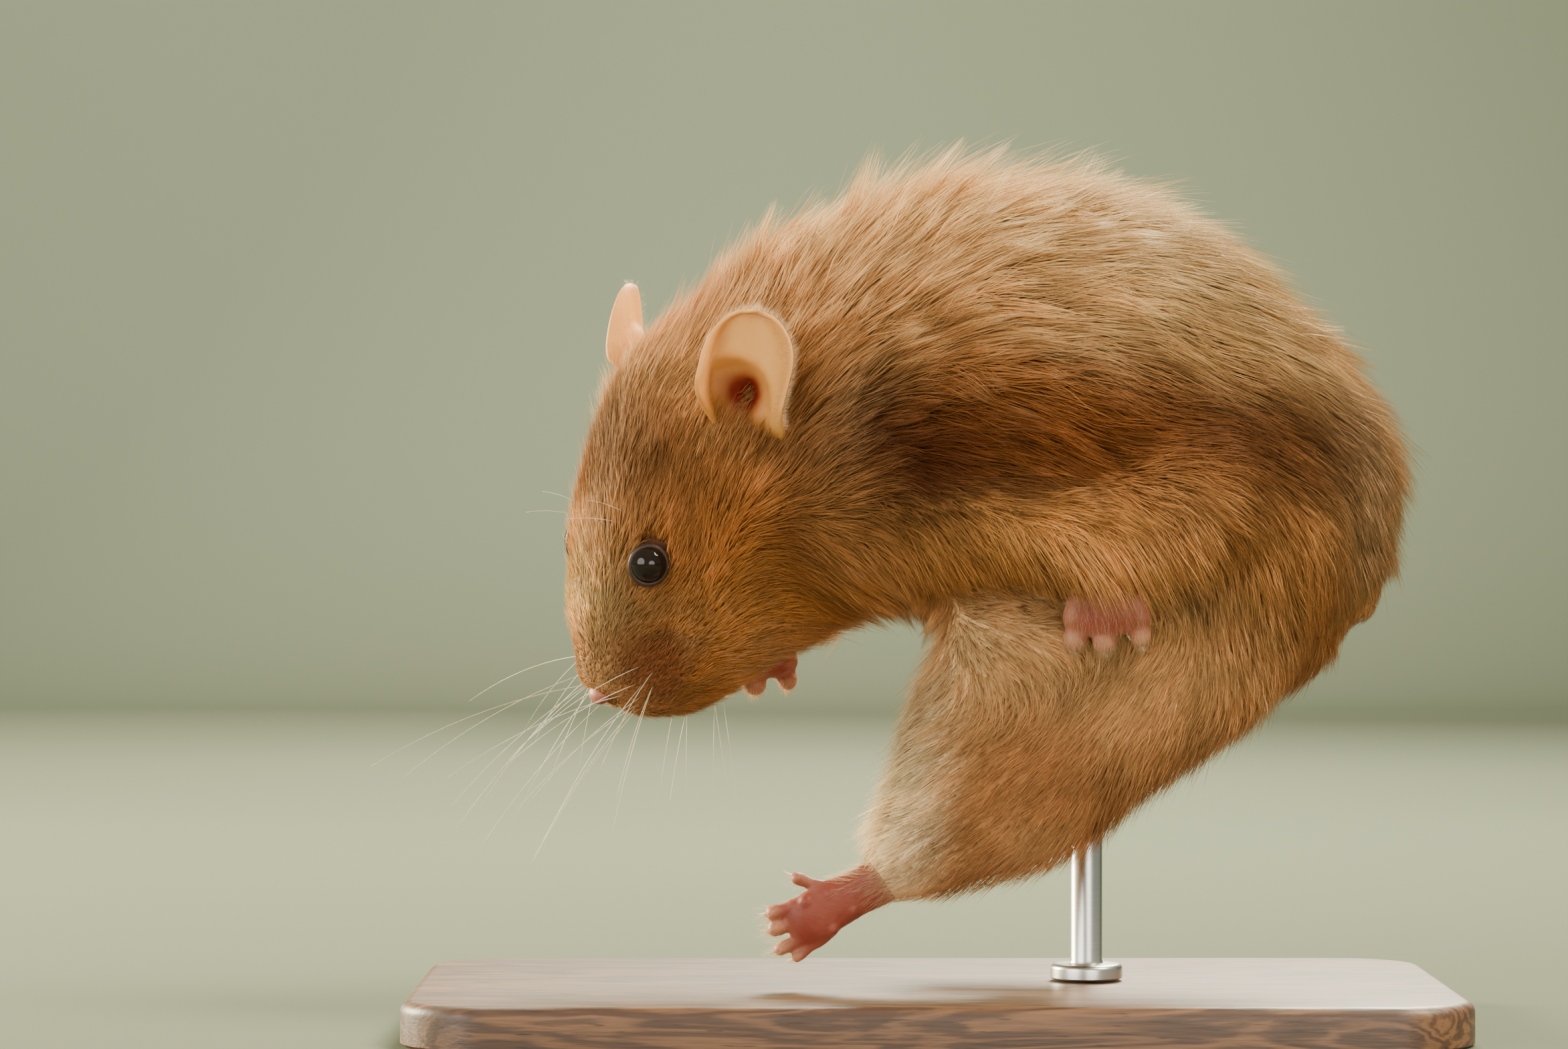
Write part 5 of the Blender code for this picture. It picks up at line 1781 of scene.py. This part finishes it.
@dataclass
class CoatPatch:
    """One piece of the coat: the tufts rooted in the region of some CAD nodes, on the left, 1, or right, -1.

    A tuft has so many rings of points, and the piece so many tufts at most. Clumping is how far tufts are
    drawn into locks, and locks is how many share one. Some tufts are short and broad and some stray; hair
    keeps off each eye, in eye radii, and off the nose.
    """

    name: str
    nodes: tuple
    side: int
    rings: int
    seed: int
    most: int
    clumping: float = 0.5
    locks: int = 14
    ahead_mm: tuple = ANYWHERE
    broad: float = 0.36
    stray: float = 0.04
    eye_margin: float = 0.92
    nose_mm: float = 2.0
    sunk_mm: float = 0.25

    def roots(self, ground: Ground, region: Array, rng: Random) -> Roots:
        """Scatters roots over the region, leaving out the eyes and the nose.

        Args:
            ground: The skin.
            region: Each skin vertex's CAD node, by number.
            rng: Random numbers.

        Returns:
            The roots, as many as the piece may have.
        """
        surface, centre = ground.surface, ground.middles()
        ahead = (centre - HEAD.nose) @ HEAD.forward / MM
        chosen = np.isin(region[surface.tris[:, 0]], [FLESH.index(node) for node in self.nodes])
        chosen &= (ahead > self.ahead_mm[0]) & (ahead <= self.ahead_mm[1])
        sideways = (centre - HEAD.nose) @ HEAD.left if "head" in self.nodes else -centre[:, 1]
        chosen &= sideways * self.side > 0
        for eye in EYES:
            chosen &= np.linalg.norm(centre - eye, axis=1) > EYE_RADIUS * self.eye_margin
        chosen &= np.linalg.norm(centre - HEAD.nose, axis=1) > self.nose_mm * MM
        mine = np.flatnonzero(chosen)
        density = COAT_MAP.size(centre[mine], "density")
        density *= self.most / (areas(surface, mine) * density).sum()
        return scattered(surface, mine, density, rng)

    def strands(self, ground: Ground, place: Array, leader: Array, rng: Random) -> tuple[Array, Array]:
        """Walks each tuft over the skin, rising from its root to its own height.

        Formula: each step goes along the local lie of the hair, mixed with the last step's heading, and the
        point is then moved along the nearest normal to a height that rises as 1 - (1 - t) ** 1.25. About a
        third are short and broad, the rest long and fine; those that lead a lock stand higher.

        Args:
            ground: The skin.
            place: The roots.
            leader: Whether each leads a lock.
            rng: Random numbers.

        Returns:
            The points along each tuft, root first, and each tuft's half width.
        """
        count = len(place)
        broad = rng.random(count) < self.broad
        length = COAT_MAP.size(place, "length") * rng.uniform(0.65, 1.2, count) * np.where(broad, 0.85, 1.05)
        lift = np.where(broad, rng.uniform(0.4, 1.0, count), rng.uniform(0.55, 1.5, count))
        lift = np.where(leader, rng.uniform(0.8, 1.4 + 0.8 * self.clumping, count), lift)
        stray = (rng.random(count) < self.stray) & ~leader
        depth = COAT_MAP.size(place, "depth") * np.where(stray, lift * 1.5, lift)
        length *= np.where(stray, 1.3, 1.0)
        width = COAT_MAP.size(place, "width") * rng.uniform(0.6, 1.3, count) * np.where(broad, 0.60, 0.32)
        near = ground.near.nearest(place)
        heading = ground.flow[near]
        ripple = np.array([[310.0, 620.0], [540.0, -350.0], [460.0, 510.0]])
        wave = np.sin(place @ ripple + np.array([0.4, 2.0]))
        sway = rng.normal(0, 1, count) * np.where(broad, 0.10, 0.18)
        sway = (sway + 0.07 * wave[:, 0] + 0.06 * wave[:, 1])[:, None]
        heading = unit(heading + sway * np.cross(ground.normals[near], heading))
        points = [place - ground.normals[near] * self.sunk_mm * MM]
        here = place
        for k in range(1, self.rings + 1):
            t = k / self.rings
            here = here + heading * (length / self.rings)[:, None]
            near = ground.near.nearest(here)
            normal = ground.normals[near]
            height = ((here - ground.surface.verts[near]) * normal).sum(1)
            target = depth * (1 - (1 - t) ** 1.25)
            here = here + normal * ((target - height) * 0.85)[:, None]
            lie = unit(ground.flow[near] + sway * np.cross(normal, ground.flow[near]))
            heading = unit(0.55 * heading + 0.45 * lie)
            points.append(here)
        return np.stack(points, 1), width

    def overhanging(self, points: Array) -> Array:
        """Lets hair rooted on the roll of a flank hang past its edge: it never turns back inwards.

        Args:
            points: The tufts' points, root first.

        Returns:
            The points, each at least as far out as those before it.
        """
        root = points[:, 0]
        above, x = above_flank(root), root[:, 0] / MM
        held = (above > -0.5) & (above < 9) & (x > -8) & (x < 36) & (np.abs(root[:, 1]) > FLANK_Y * MM)
        wide = np.maximum.accumulate(np.abs(points[..., 1]), axis=1) * np.sign(root[:, 1:2])
        moved = points.copy()
        moved[held, :, 1] = wide[held]
        return moved

    def kept_off(self, points: Array) -> Array:
        """Moves points that lie inside an eye out to its surface."""
        for centre in EYES:
            offset = points - centre
            far = np.linalg.norm(offset, axis=-1, keepdims=True)
            points = np.where(far < EYE_RADIUS, centre + unit(offset) * EYE_RADIUS, points)
        return points

    def grow(self, ground: Ground, region: Array, material: Material) -> Object:
        """Builds the piece.

        Args:
            ground: The skin.
            region: Each skin vertex's CAD node, by number.
            material: The hair's finish.

        Returns:
            The piece.
        """
        rng = np.random.default_rng(self.seed)
        roots = self.roots(ground, region, rng)
        count = len(roots.place)
        leaders = rng.choice(count, max(count // self.locks, 1), replace=False)
        leads = np.zeros(count, bool)
        leads[leaders] = True
        points, width = self.strands(ground, roots.place, leads, rng)
        points = self.kept_off(self.overhanging(clumped(points, leaders, self.clumping, rng)))
        return ground.hair(points, width, roots).build(self.name, "coat", material, self.seed + 1000)


@dataclass
class Fringe:
    """The long hair that hangs over one flank's edge: so many to a square millimetre in a band along it."""

    side: int
    most: float
    length_mm: float = 7.4
    stretch: tuple = (-8.0, 34.0)
    band: tuple = (-0.5, 6.0)
    clumping: float = 0.35
    locks: int = 16
    seed: int = 61
    shade_seed: int = 7

    def grow(self, ground: Ground, material: Material) -> Object:
        """Roots the hairs in a band along the flank's edge; each leaves the skin and bends down.

        Args:
            ground: The skin.
            material: The hair's finish.

        Returns:
            The piece.
        """
        rng = np.random.default_rng(self.seed)
        centre, (start, end) = ground.middles(), self.stretch
        above, x = above_flank(centre), centre[:, 0] / MM
        chosen = (above > self.band[0]) & (above < self.band[1]) & (x > start) & (x < end)
        mine = np.flatnonzero(chosen & (-centre[:, 1] * self.side > FLANK_Y * MM))
        share = self.most * (0.1 + 0.9 * ramp(start, start + 6, x[mine]))
        roots = scattered(ground.surface, mine, share, rng)
        count = len(roots.place)
        way = np.array([0.58, -0.68 * self.side, -0.48]) + rng.normal(0, 0.10, (count, 3))
        bend = np.array([0.0, 0.26 * self.side, -0.42]) + rng.normal(0, 0.05, (count, 3))
        length = self.length_mm * MM * rng.uniform(0.5, 1.15, count)
        length *= 1 + 0.35 * ramp(8 * MM, 16 * MM, roots.place[:, 0])
        points = arched(roots.place, way, bend, length, 3)
        leaders = rng.choice(count, count // self.locks, replace=False)
        points = clumped(points, leaders, self.clumping, rng)
        width = rng.uniform(0.04, 0.11, count) * MM
        name = "coat_fringe_" + ("left" if self.side == 1 else "right")
        return ground.hair(points, width, roots).build(name, "coat", material, self.shade_seed)


@dataclass
class EarTuft:
    """The hair that stands up over the foot of one ear."""

    name: str
    ear: Ear
    most: float = 16.0
    length_mm: float = 6.0
    reach_mm: float = 7.5
    seed: int = 91
    shade_seed: int = 9

    def grow(self, ground: Ground, material: Material) -> Object:
        """Roots the hairs on the skin in front of and below the ear; they point up it and out.

        Args:
            ground: The skin.
            material: The hair's finish.

        Returns:
            The piece.
        """
        rng = np.random.default_rng(self.seed)
        up, across, out = self.ear.axes()
        offset = (ground.middles() - np.array(self.ear.root_mm) * MM) / MM
        high, wide, proud = offset @ up, offset @ across, offset @ out
        far = np.hypot(wide + 1.5, high + 1.0)
        mine = np.flatnonzero((far < self.reach_mm) & (np.abs(proud) < 6.0))
        share = self.most * ramp(8.0, 3.0, far[mine])
        roots = scattered(ground.surface, mine, share, rng)
        count = len(roots.place)
        way = 0.62 * up + 0.15 * across + 0.78 * out + rng.normal(0, 0.14, (count, 3))
        bend = 0.28 * up + 0.15 * across - 0.45 * out + rng.normal(0, 0.06, (count, 3))
        points = arched(roots.place, way, bend, self.length_mm * MM * rng.uniform(0.45, 1.15, count), 2)
        width = rng.uniform(0.035, 0.09, count) * MM
        return ground.hair(points, width, roots).build(self.name, "coat", material, self.shade_seed)


def coat_patches() -> list[CoatPatch]:
    """The coat's pieces: name, nodes, rings, tufts left and right, clumping, tufts to a lock, stretch."""
    rows = (
        ("face", ("head",), 2, 11500, 8500, 0.15, 12, (FACE_BACK, FAR)),
        ("head", ("head",), 2, 14000, 9600, 0.3, 12, (-FAR, FACE_BACK)),
        ("neck", ("neck",), 3, 6300, 4500, 0.7, 20, ANYWHERE),
        ("chest", ("chest",), 3, 7000, 4900, 0.8, 20, ANYWHERE),
        ("abdomen", ("abdomen",), 2, 8600, 5600, 0.45, 14, ANYWHERE),
        ("rump", ("rump", "tail"), 2, 8600, 5900, 0.55, 16, ANYWHERE),
        ("thigh", ("thigh_left", "thigh_right"), 2, 10500, 6600, 0.3, 12, ANYWHERE),
        ("leg", LEGS, 2, 7800, 4900, 0.3, 12, ANYWHERE),
    )
    found = []
    for number, (name, nodes, rings, left, right, clumping, locks, ahead) in enumerate(rows):
        for side, label, most in ((1, "left", left), (-1, "right", right)):
            seed = 11 + 2 * number + side
            patch = CoatPatch(f"coat_{name}_{label}", nodes, side, rings, seed, most, clumping, locks, ahead)
            found.append(patch)
    return found


@dataclass
class Velvet:
    """Short straight hairs on the ears and paws; rise is how far they stand away from the skin, 0 to 1."""

    name: str
    slot: str
    length_mm: float
    width_mm: float
    rise: float
    seed: int
    sunk_mm: float = 0.1

    def grow(
        self, surface: Surface, density: Array, towards: Array, uv: Array, material: bpy.types.Material
    ) -> Object:
        """Scatters hairs over a surface.

        Args:
            surface: What they grow on.
            density: Hairs wanted per square millimetre at each vertex.
            towards: The way they point, at each vertex.
            uv: The surface's map, one place per triangle corner.
            material: Their finish.

        Returns:
            The piece.
        """
        rng = np.random.default_rng(self.seed)
        wanted = density[surface.tris].mean(1)
        mine = np.flatnonzero(wanted > 0.01)
        roots = scattered(surface, mine, wanted[mine], rng)
        count = len(roots.place)
        normal = unit(roots.blend(surface.normals()[surface.tris]))
        lie = towards[surface.tris[roots.picked, 0]]
        lie = unit(lie - (lie * normal).sum(1, keepdims=True) * normal)
        heading = unit(lie + self.rise * normal + rng.normal(0, 0.16, (count, 3)))
        length = self.length_mm * MM * rng.uniform(0.5, 1.25, count)
        foot = roots.place - normal * self.sunk_mm * MM
        points = np.stack([foot, roots.place + heading * length[:, None]], 1)
        width = self.width_mm * MM * rng.uniform(0.7, 1.2, count)
        blades = Blades(points, width, normal, roots.blend(uv))
        return blades.build(self.name, self.slot, material, self.seed + 1)


def regions_of(surface: Surface) -> Array:
    """Each skin vertex's CAD node: the node whose surface, sampled in each triangle, is nearest.

    Args:
        surface: The skin.

    Returns:
        The nodes' numbers in FLESH.
    """
    samples, labels = [], []
    shares = [[1, 0, 0], [0, 1, 0], [0, 0, 1], [1, 1, 1], [2, 1, 0], [0, 2, 1], [1, 0, 2]]
    shares = np.array(shares, float) / np.array(shares, float).sum(1, keepdims=True)
    for number, name in enumerate(FLESH):
        solid = Surface.of_object(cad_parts[name])
        found = np.einsum("sk,tkx->tsx", shares, solid.verts[solid.tris]).reshape(-1, 3)
        samples.append(found)
        labels.append(np.full(len(found), number))
    samples = np.concatenate(samples).astype(np.float32)
    labels = np.concatenate(labels)
    squared = (samples**2).sum(1)
    nearest = np.empty(len(surface.verts), np.int64)
    for start in range(0, len(surface.verts), SKIN_BLOCK):
        block = surface.verts[start : start + SKIN_BLOCK].astype(np.float32)
        nearest[start : start + SKIN_BLOCK] = (squared[None] - 2 * block @ samples.T).argmin(1)
    return labels[nearest]


# ---- eyes, whiskers, claws


@dataclass
class Eye:
    """A glossy bulging eye."""

    name: str
    node: str
    centre: Array
    share: float = 0.94

    def build(self, material: Material) -> Object:
        """Makes the eyeball as a fine sphere."""
        ball = facing_out(ellipsoid(self.centre, np.eye(3), np.full(3, EYE_RADIUS * self.share), 40))
        return finished(ball.to_object(self.name), "eye", material, nodes=(self.node,))


@dataclass
class Whiskers:
    """Long pale hairs in rows on each whisker pad, two over each eye and a few on the chin."""

    thick_mm: float = 0.040
    thin_mm: float = 0.035
    tip_mm: float = 0.010
    droop: float = -0.20
    seed: int = 5
    steps: int = 12

    def bundles(self) -> list[tuple]:
        """(place in the head's axes, direction in the frame, length, radius) in mm for each whisker."""
        rng = np.random.default_rng(self.seed)
        found = []
        for side in (1, -1):
            for row in range(3):
                for k in range(4):
                    place = (-2.6 - 1.1 * k + 0.3 * row, side * (3.6 + 0.8 * k), -1.6 - 1.5 * row)
                    turn = rng.normal(0, 0.07, 3)
                    heading = (-0.95 + 0.16 * k + 0.12 * row, -side * (0.22 + 0.13 * k), -0.22 - 0.24 * row)
                    length = (32 - 2.2 * k - 2.0 * row) * rng.uniform(0.7, 1.1)
                    found.append((place, np.array(heading) + turn, length, self.thick_mm))
            found.append(((-24, side * 7.0, 9.5), (-0.85, -side * 0.30, 0.25), 9, self.thin_mm))
            found.append(((-26, side * 8.0, 9.0), (-0.75, -side * 0.40, 0.45), 8, self.thin_mm))
            for k in range(3):
                heading = (-0.25 + 0.2 * k, -side * 0.15, -1.0)
                found.append(((-5 - 2 * k, side * 2.5, -12), heading, 12 + 2 * k, self.thin_mm))
        return found

    def build(self, ground: Ground, material: Material) -> Object:
        """Makes each whisker a thin tube that bends a little under its weight and ends in a point.

        Args:
            ground: The skin.
            material: The whiskers' finish.

        Returns:
            The piece.
        """
        parts = []
        t = np.linspace(0, 1, self.steps)
        for place, heading, length, radius in self.bundles():
            start = HEAD.place(*place)
            root = ground.surface.verts[ground.near.nearest(start[None])[0]]
            way = unit(np.array(heading))
            bend = np.array([0.03, 0.0, self.droop])
            path = root + length * MM * (t[:, None] * way + (t**2)[:, None] * bend)
            parts.append(facing_out(tube(path, radius * MM * (1 - t) ** 0.7 + self.tip_mm * MM, 5)))
        return finished(Surface.joined(parts).to_object("whiskers"), "coat", material)


# ---- stand and studio


@dataclass
class Stand:
    """A flat wooden base with rounded corners and one turned steel rod with a collar."""

    corner_mm: float = 12.0
    round_mm: float = 1.6
    foot_mm: float = 0.4
    rod_mm: float = 2.2
    rod_round_mm: float = 0.5
    collar_top_mm: float = 2.1
    collar_round_mm: float = 0.7
    rod_sides: int = 64
    crease_degrees: float = 35.0

    def base_surface(self) -> Surface:
        """Carries a rounded-corner outline over a profile of its top edge.

        Formula: each ring is the outline, drawn in by the profile's inset, at the profile's height.
        """
        low, high = (np.array(corner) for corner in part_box("stand_base"))
        quarter = np.linspace(0, np.pi / 2, 13)
        half = (high - low)[:2] / 2
        corner, rounding = self.corner_mm * MM, self.round_mm * MM
        turn = np.linspace(0, np.pi / 2, 9)
        foot = self.foot_mm * MM
        inset = np.concatenate([[foot, 0.0], rounding * (1 - np.cos(turn)), [corner * 0.8, corner * 0.97]])
        height = np.concatenate([[low[2], low[2] + foot], high[2] - rounding * (1 - np.sin(turn))])
        height = np.concatenate([height, [high[2], high[2]]])
        angle = quarter + np.arange(4)[:, None] * np.pi / 2
        centre = np.array([(1, 1), (-1, 1), (-1, -1), (1, -1)]) * (half - corner)
        arc = (corner - inset)[:, None, None, None] * np.stack([np.cos(angle), np.sin(angle)], -1)
        outline = (centre[:, None] + arc).reshape(len(inset), -1, 2) + (low + high)[:2] / 2
        level = np.broadcast_to(height[:, None, None], (*outline.shape[:2], 1))
        rows = np.concatenate([outline, level], -1)
        top, under = (rows[[k]].mean(1, keepdims=True).repeat(rows.shape[1], 1) for k in (-1, 0))
        return facing_out(closed_grid(np.concatenate([under, rows, top])[::-1]))

    def rod_surface(self) -> Surface:
        """Turns the rod's profile, collar and all, about its axis.

        Formula: the profile is a list of (radius, height), from the middle of the rod's top down; each round
        edge is a quarter circle.
        """
        low, high = (np.array(corner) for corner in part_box("stand_rod"))
        axis = (low + high) / 2
        collar = (high - low)[0] / 2
        rod = self.rod_mm * MM
        collar_top = low[2] + self.collar_top_mm * MM
        edge, shoulder = self.rod_round_mm * MM, self.collar_round_mm * MM
        turn = np.linspace(0, np.pi / 2, 7)
        profile = [(0.0, high[2]), (rod - edge, high[2])]
        profile += [(rod - edge * (1 - np.sin(a)), high[2] - edge * (1 - np.cos(a))) for a in turn]
        profile += [(rod, collar_top + edge), (rod + 0.15 * MM, collar_top + 0.1 * MM)]
        profile += [
            (collar - shoulder * (1 - np.sin(a)), collar_top - shoulder * (1 - np.cos(a))) for a in turn
        ]
        profile += [(collar, low[2] + 0.2 * MM), (collar - 0.2 * MM, low[2]), (0.0, low[2])]
        profile = np.array(profile)
        angle = np.linspace(0, 2 * np.pi, self.rod_sides, endpoint=False)
        x = axis[0] + profile[:, :1] * np.cos(angle)
        y = axis[1] + profile[:, :1] * np.sin(angle)
        z = profile[:, 1:].repeat(self.rod_sides, 1)
        return facing_out(closed_grid(np.stack([x, y, z], -1)))

    def build(self) -> None:
        """Makes both pieces in place of their solids."""
        for name, surface, node, slot, finish in (
            ("plinth", self.base_surface(), "stand_base", "stand_wood", Walnut()),
            ("support", self.rod_surface(), "stand_rod", "stand_steel", SatinSteel()),
        ):
            obj = surface.to_object(name)
            obj.data.set_sharp_from_angle(angle=math.radians(self.crease_degrees))
            finished(obj, slot, finish.make(), nodes=(node,))
            log.info("%s: %d triangles", name, len(surface.tris))


@dataclass(frozen=True)
class Lamp:
    """A round soft lamp: where it hangs, what it points at, its width in metres, watts and colour."""

    name: str
    place: tuple
    target: tuple
    size: float
    power: float
    colour: tuple

    def build(self) -> None:
        """Hangs the lamp: it looks down its own -Z, so it is tilted by two angles towards its target."""
        light = bpy.data.lights.new(self.name, "AREA")
        light.shape = "DISK"
        light.size = self.size
        light.energy = self.power
        light.color = self.colour
        obj = bpy.data.objects.new(self.name, light)
        away = np.array(self.place) - np.array(self.target)
        obj.location = self.place
        flat = math.hypot(away[0], away[1])
        obj.rotation_euler = (math.atan2(flat, away[2]), 0, math.atan2(away[0], -away[1]))
        bpy.context.scene.collection.objects.link(obj)


@dataclass
class Studio:
    """A pale floor running up into a backdrop, five soft lamps, and a camera level with the animal.

    Lengths are in metres; the camera's lens is for a sensor 36 mm wide. The lamps are a warm key from the
    upper right, a fill from the left, a low one in front, a warm one from the far left and a rim from behind.
    """

    distance: float = 0.70
    eye_height: float = 0.0692
    across: float = -0.0204
    focal_mm: float = 116.1
    backdrop_y: float = 1.6
    bend: float = 0.40
    front: float = -2.2
    half_width: float = 3.5
    top: float = 2.2
    lamps: tuple = (
        Lamp("key", (0.55, -0.25, 0.80), (0.0, 0.0, 0.07), 0.35, 19.0, (1.0, 0.86, 0.66)),
        Lamp("fill", (-0.75, -0.75, 0.22), (0.0, 0.0, 0.06), 0.8, 13.0, (1.0, 0.95, 0.86)),
        Lamp("low", (0.25, -0.85, 0.06), (0.02, 0.0, 0.05), 0.5, 5.5, (1.0, 0.92, 0.80)),
        Lamp("side", (-0.80, 0.38, 0.26), (-0.02, 0.0, 0.06), 0.35, 34.0, (1.0, 0.88, 0.62)),
        Lamp("rim", (0.15, 0.55, 0.60), (0.0, 0.0, 0.09), 0.4, 26.0, (1.0, 0.95, 0.76)),
    )
    air: tuple = (0.62, 0.66, 0.56, 1)
    air_strength: float = 0.7

    def build(self) -> None:
        """Makes the floor, the lamps and the camera."""
        self.floor()
        for lamp in self.lamps:
            lamp.build()
        world = bpy.data.worlds.new("studio")
        world.use_nodes = True
        world.node_tree.nodes["Background"].inputs["Color"].default_value = self.air
        world.node_tree.nodes["Background"].inputs["Strength"].default_value = self.air_strength
        bpy.context.scene.world = world
        camera = bpy.data.cameras.new("camera")
        camera.lens = self.focal_mm
        camera.sensor_width = 36.0
        camera.clip_start = 0.01
        obj = bpy.data.objects.new("camera", camera)
        obj.location = (self.across, -self.distance, self.eye_height)
        obj.rotation_euler = (math.pi / 2, 0, 0)
        bpy.context.scene.collection.objects.link(obj)
        bpy.context.scene.camera = obj

    def floor(self) -> None:
        """Carries an L with a round bend along X: the floor, the bend, then the backdrop."""
        turn = np.linspace(0, np.pi / 2, 24)
        wall = self.backdrop_y
        y = np.concatenate([[self.front], wall - self.bend + self.bend * np.sin(turn), [wall]])
        z = np.concatenate([[0.0], self.bend * (1 - np.cos(turn)), [self.top]])
        x = np.array([-self.half_width, self.half_width])
        points = np.stack([np.broadcast_to(x, (len(y), 2)), np.stack([y, y], 1), np.stack([z, z], 1)], -1)
        obj = Surface.from_grid(points[::-1]).to_object("backdrop")
        obj.data.materials.append(Paper().make())


def main() -> None:
    """Builds the studio, then the animal from the skin out, then its stand."""
    logging.basicConfig(level=logging.INFO, format="%(message)s")
    Studio().build()
    markings = build_markings(MarkingsAndPaintedLight())
    skin = Skin()
    finishes = [SkinFinish().make(markings)]
    finishes += [finish.make() for finish in (EAR_SKIN, PAW_SKIN, NOSE_SKIN, LID_SKIN)]
    skin.build(finishes)
    for side, centre in zip(("left", "right"), EYES):
        Eye("eyeball_" + side, "eye_" + side, centre).build(WET_BLACK.make())
    ground = Ground(skin.body, skin.piece_uv())
    region = regions_of(skin.body)
    hair = CoatFinish().make(markings)
    for patch in coat_patches():
        patch.grow(ground, region, hair)
    for side, most in ((1, 11.0), (-1, 6.0)):
        Fringe(side, most).grow(ground, hair)
    for label, ear in zip(("left", "right"), EARS):
        EarTuft(f"coat_ear_{label}", ear).grow(ground, hair)
    down = DOWN.make()
    for name, surface, uv, towards, density in skin.velvet_grounds():
        if name.startswith("ear"):
            velvet = Velvet("down_" + name, "ear_skin", 1.15, 0.026, 0.9, 71)
        else:
            length = 1.8 if name.startswith("forepaw") else 2.7
            velvet = Velvet("down_" + name, "paw_skin", length, 0.036, 0.30, 81)
        velvet.grow(surface, density, towards, uv, down)
    Whiskers().build(ground, WHISKER_HAIR.make())
    horn = HORN.make()
    for paw in PAW_SET:
        finished(paw.claws().to_object("claws_" + paw.name), "paw_skin", horn)
    Stand().build()


if __name__ == "__main__":
    main()
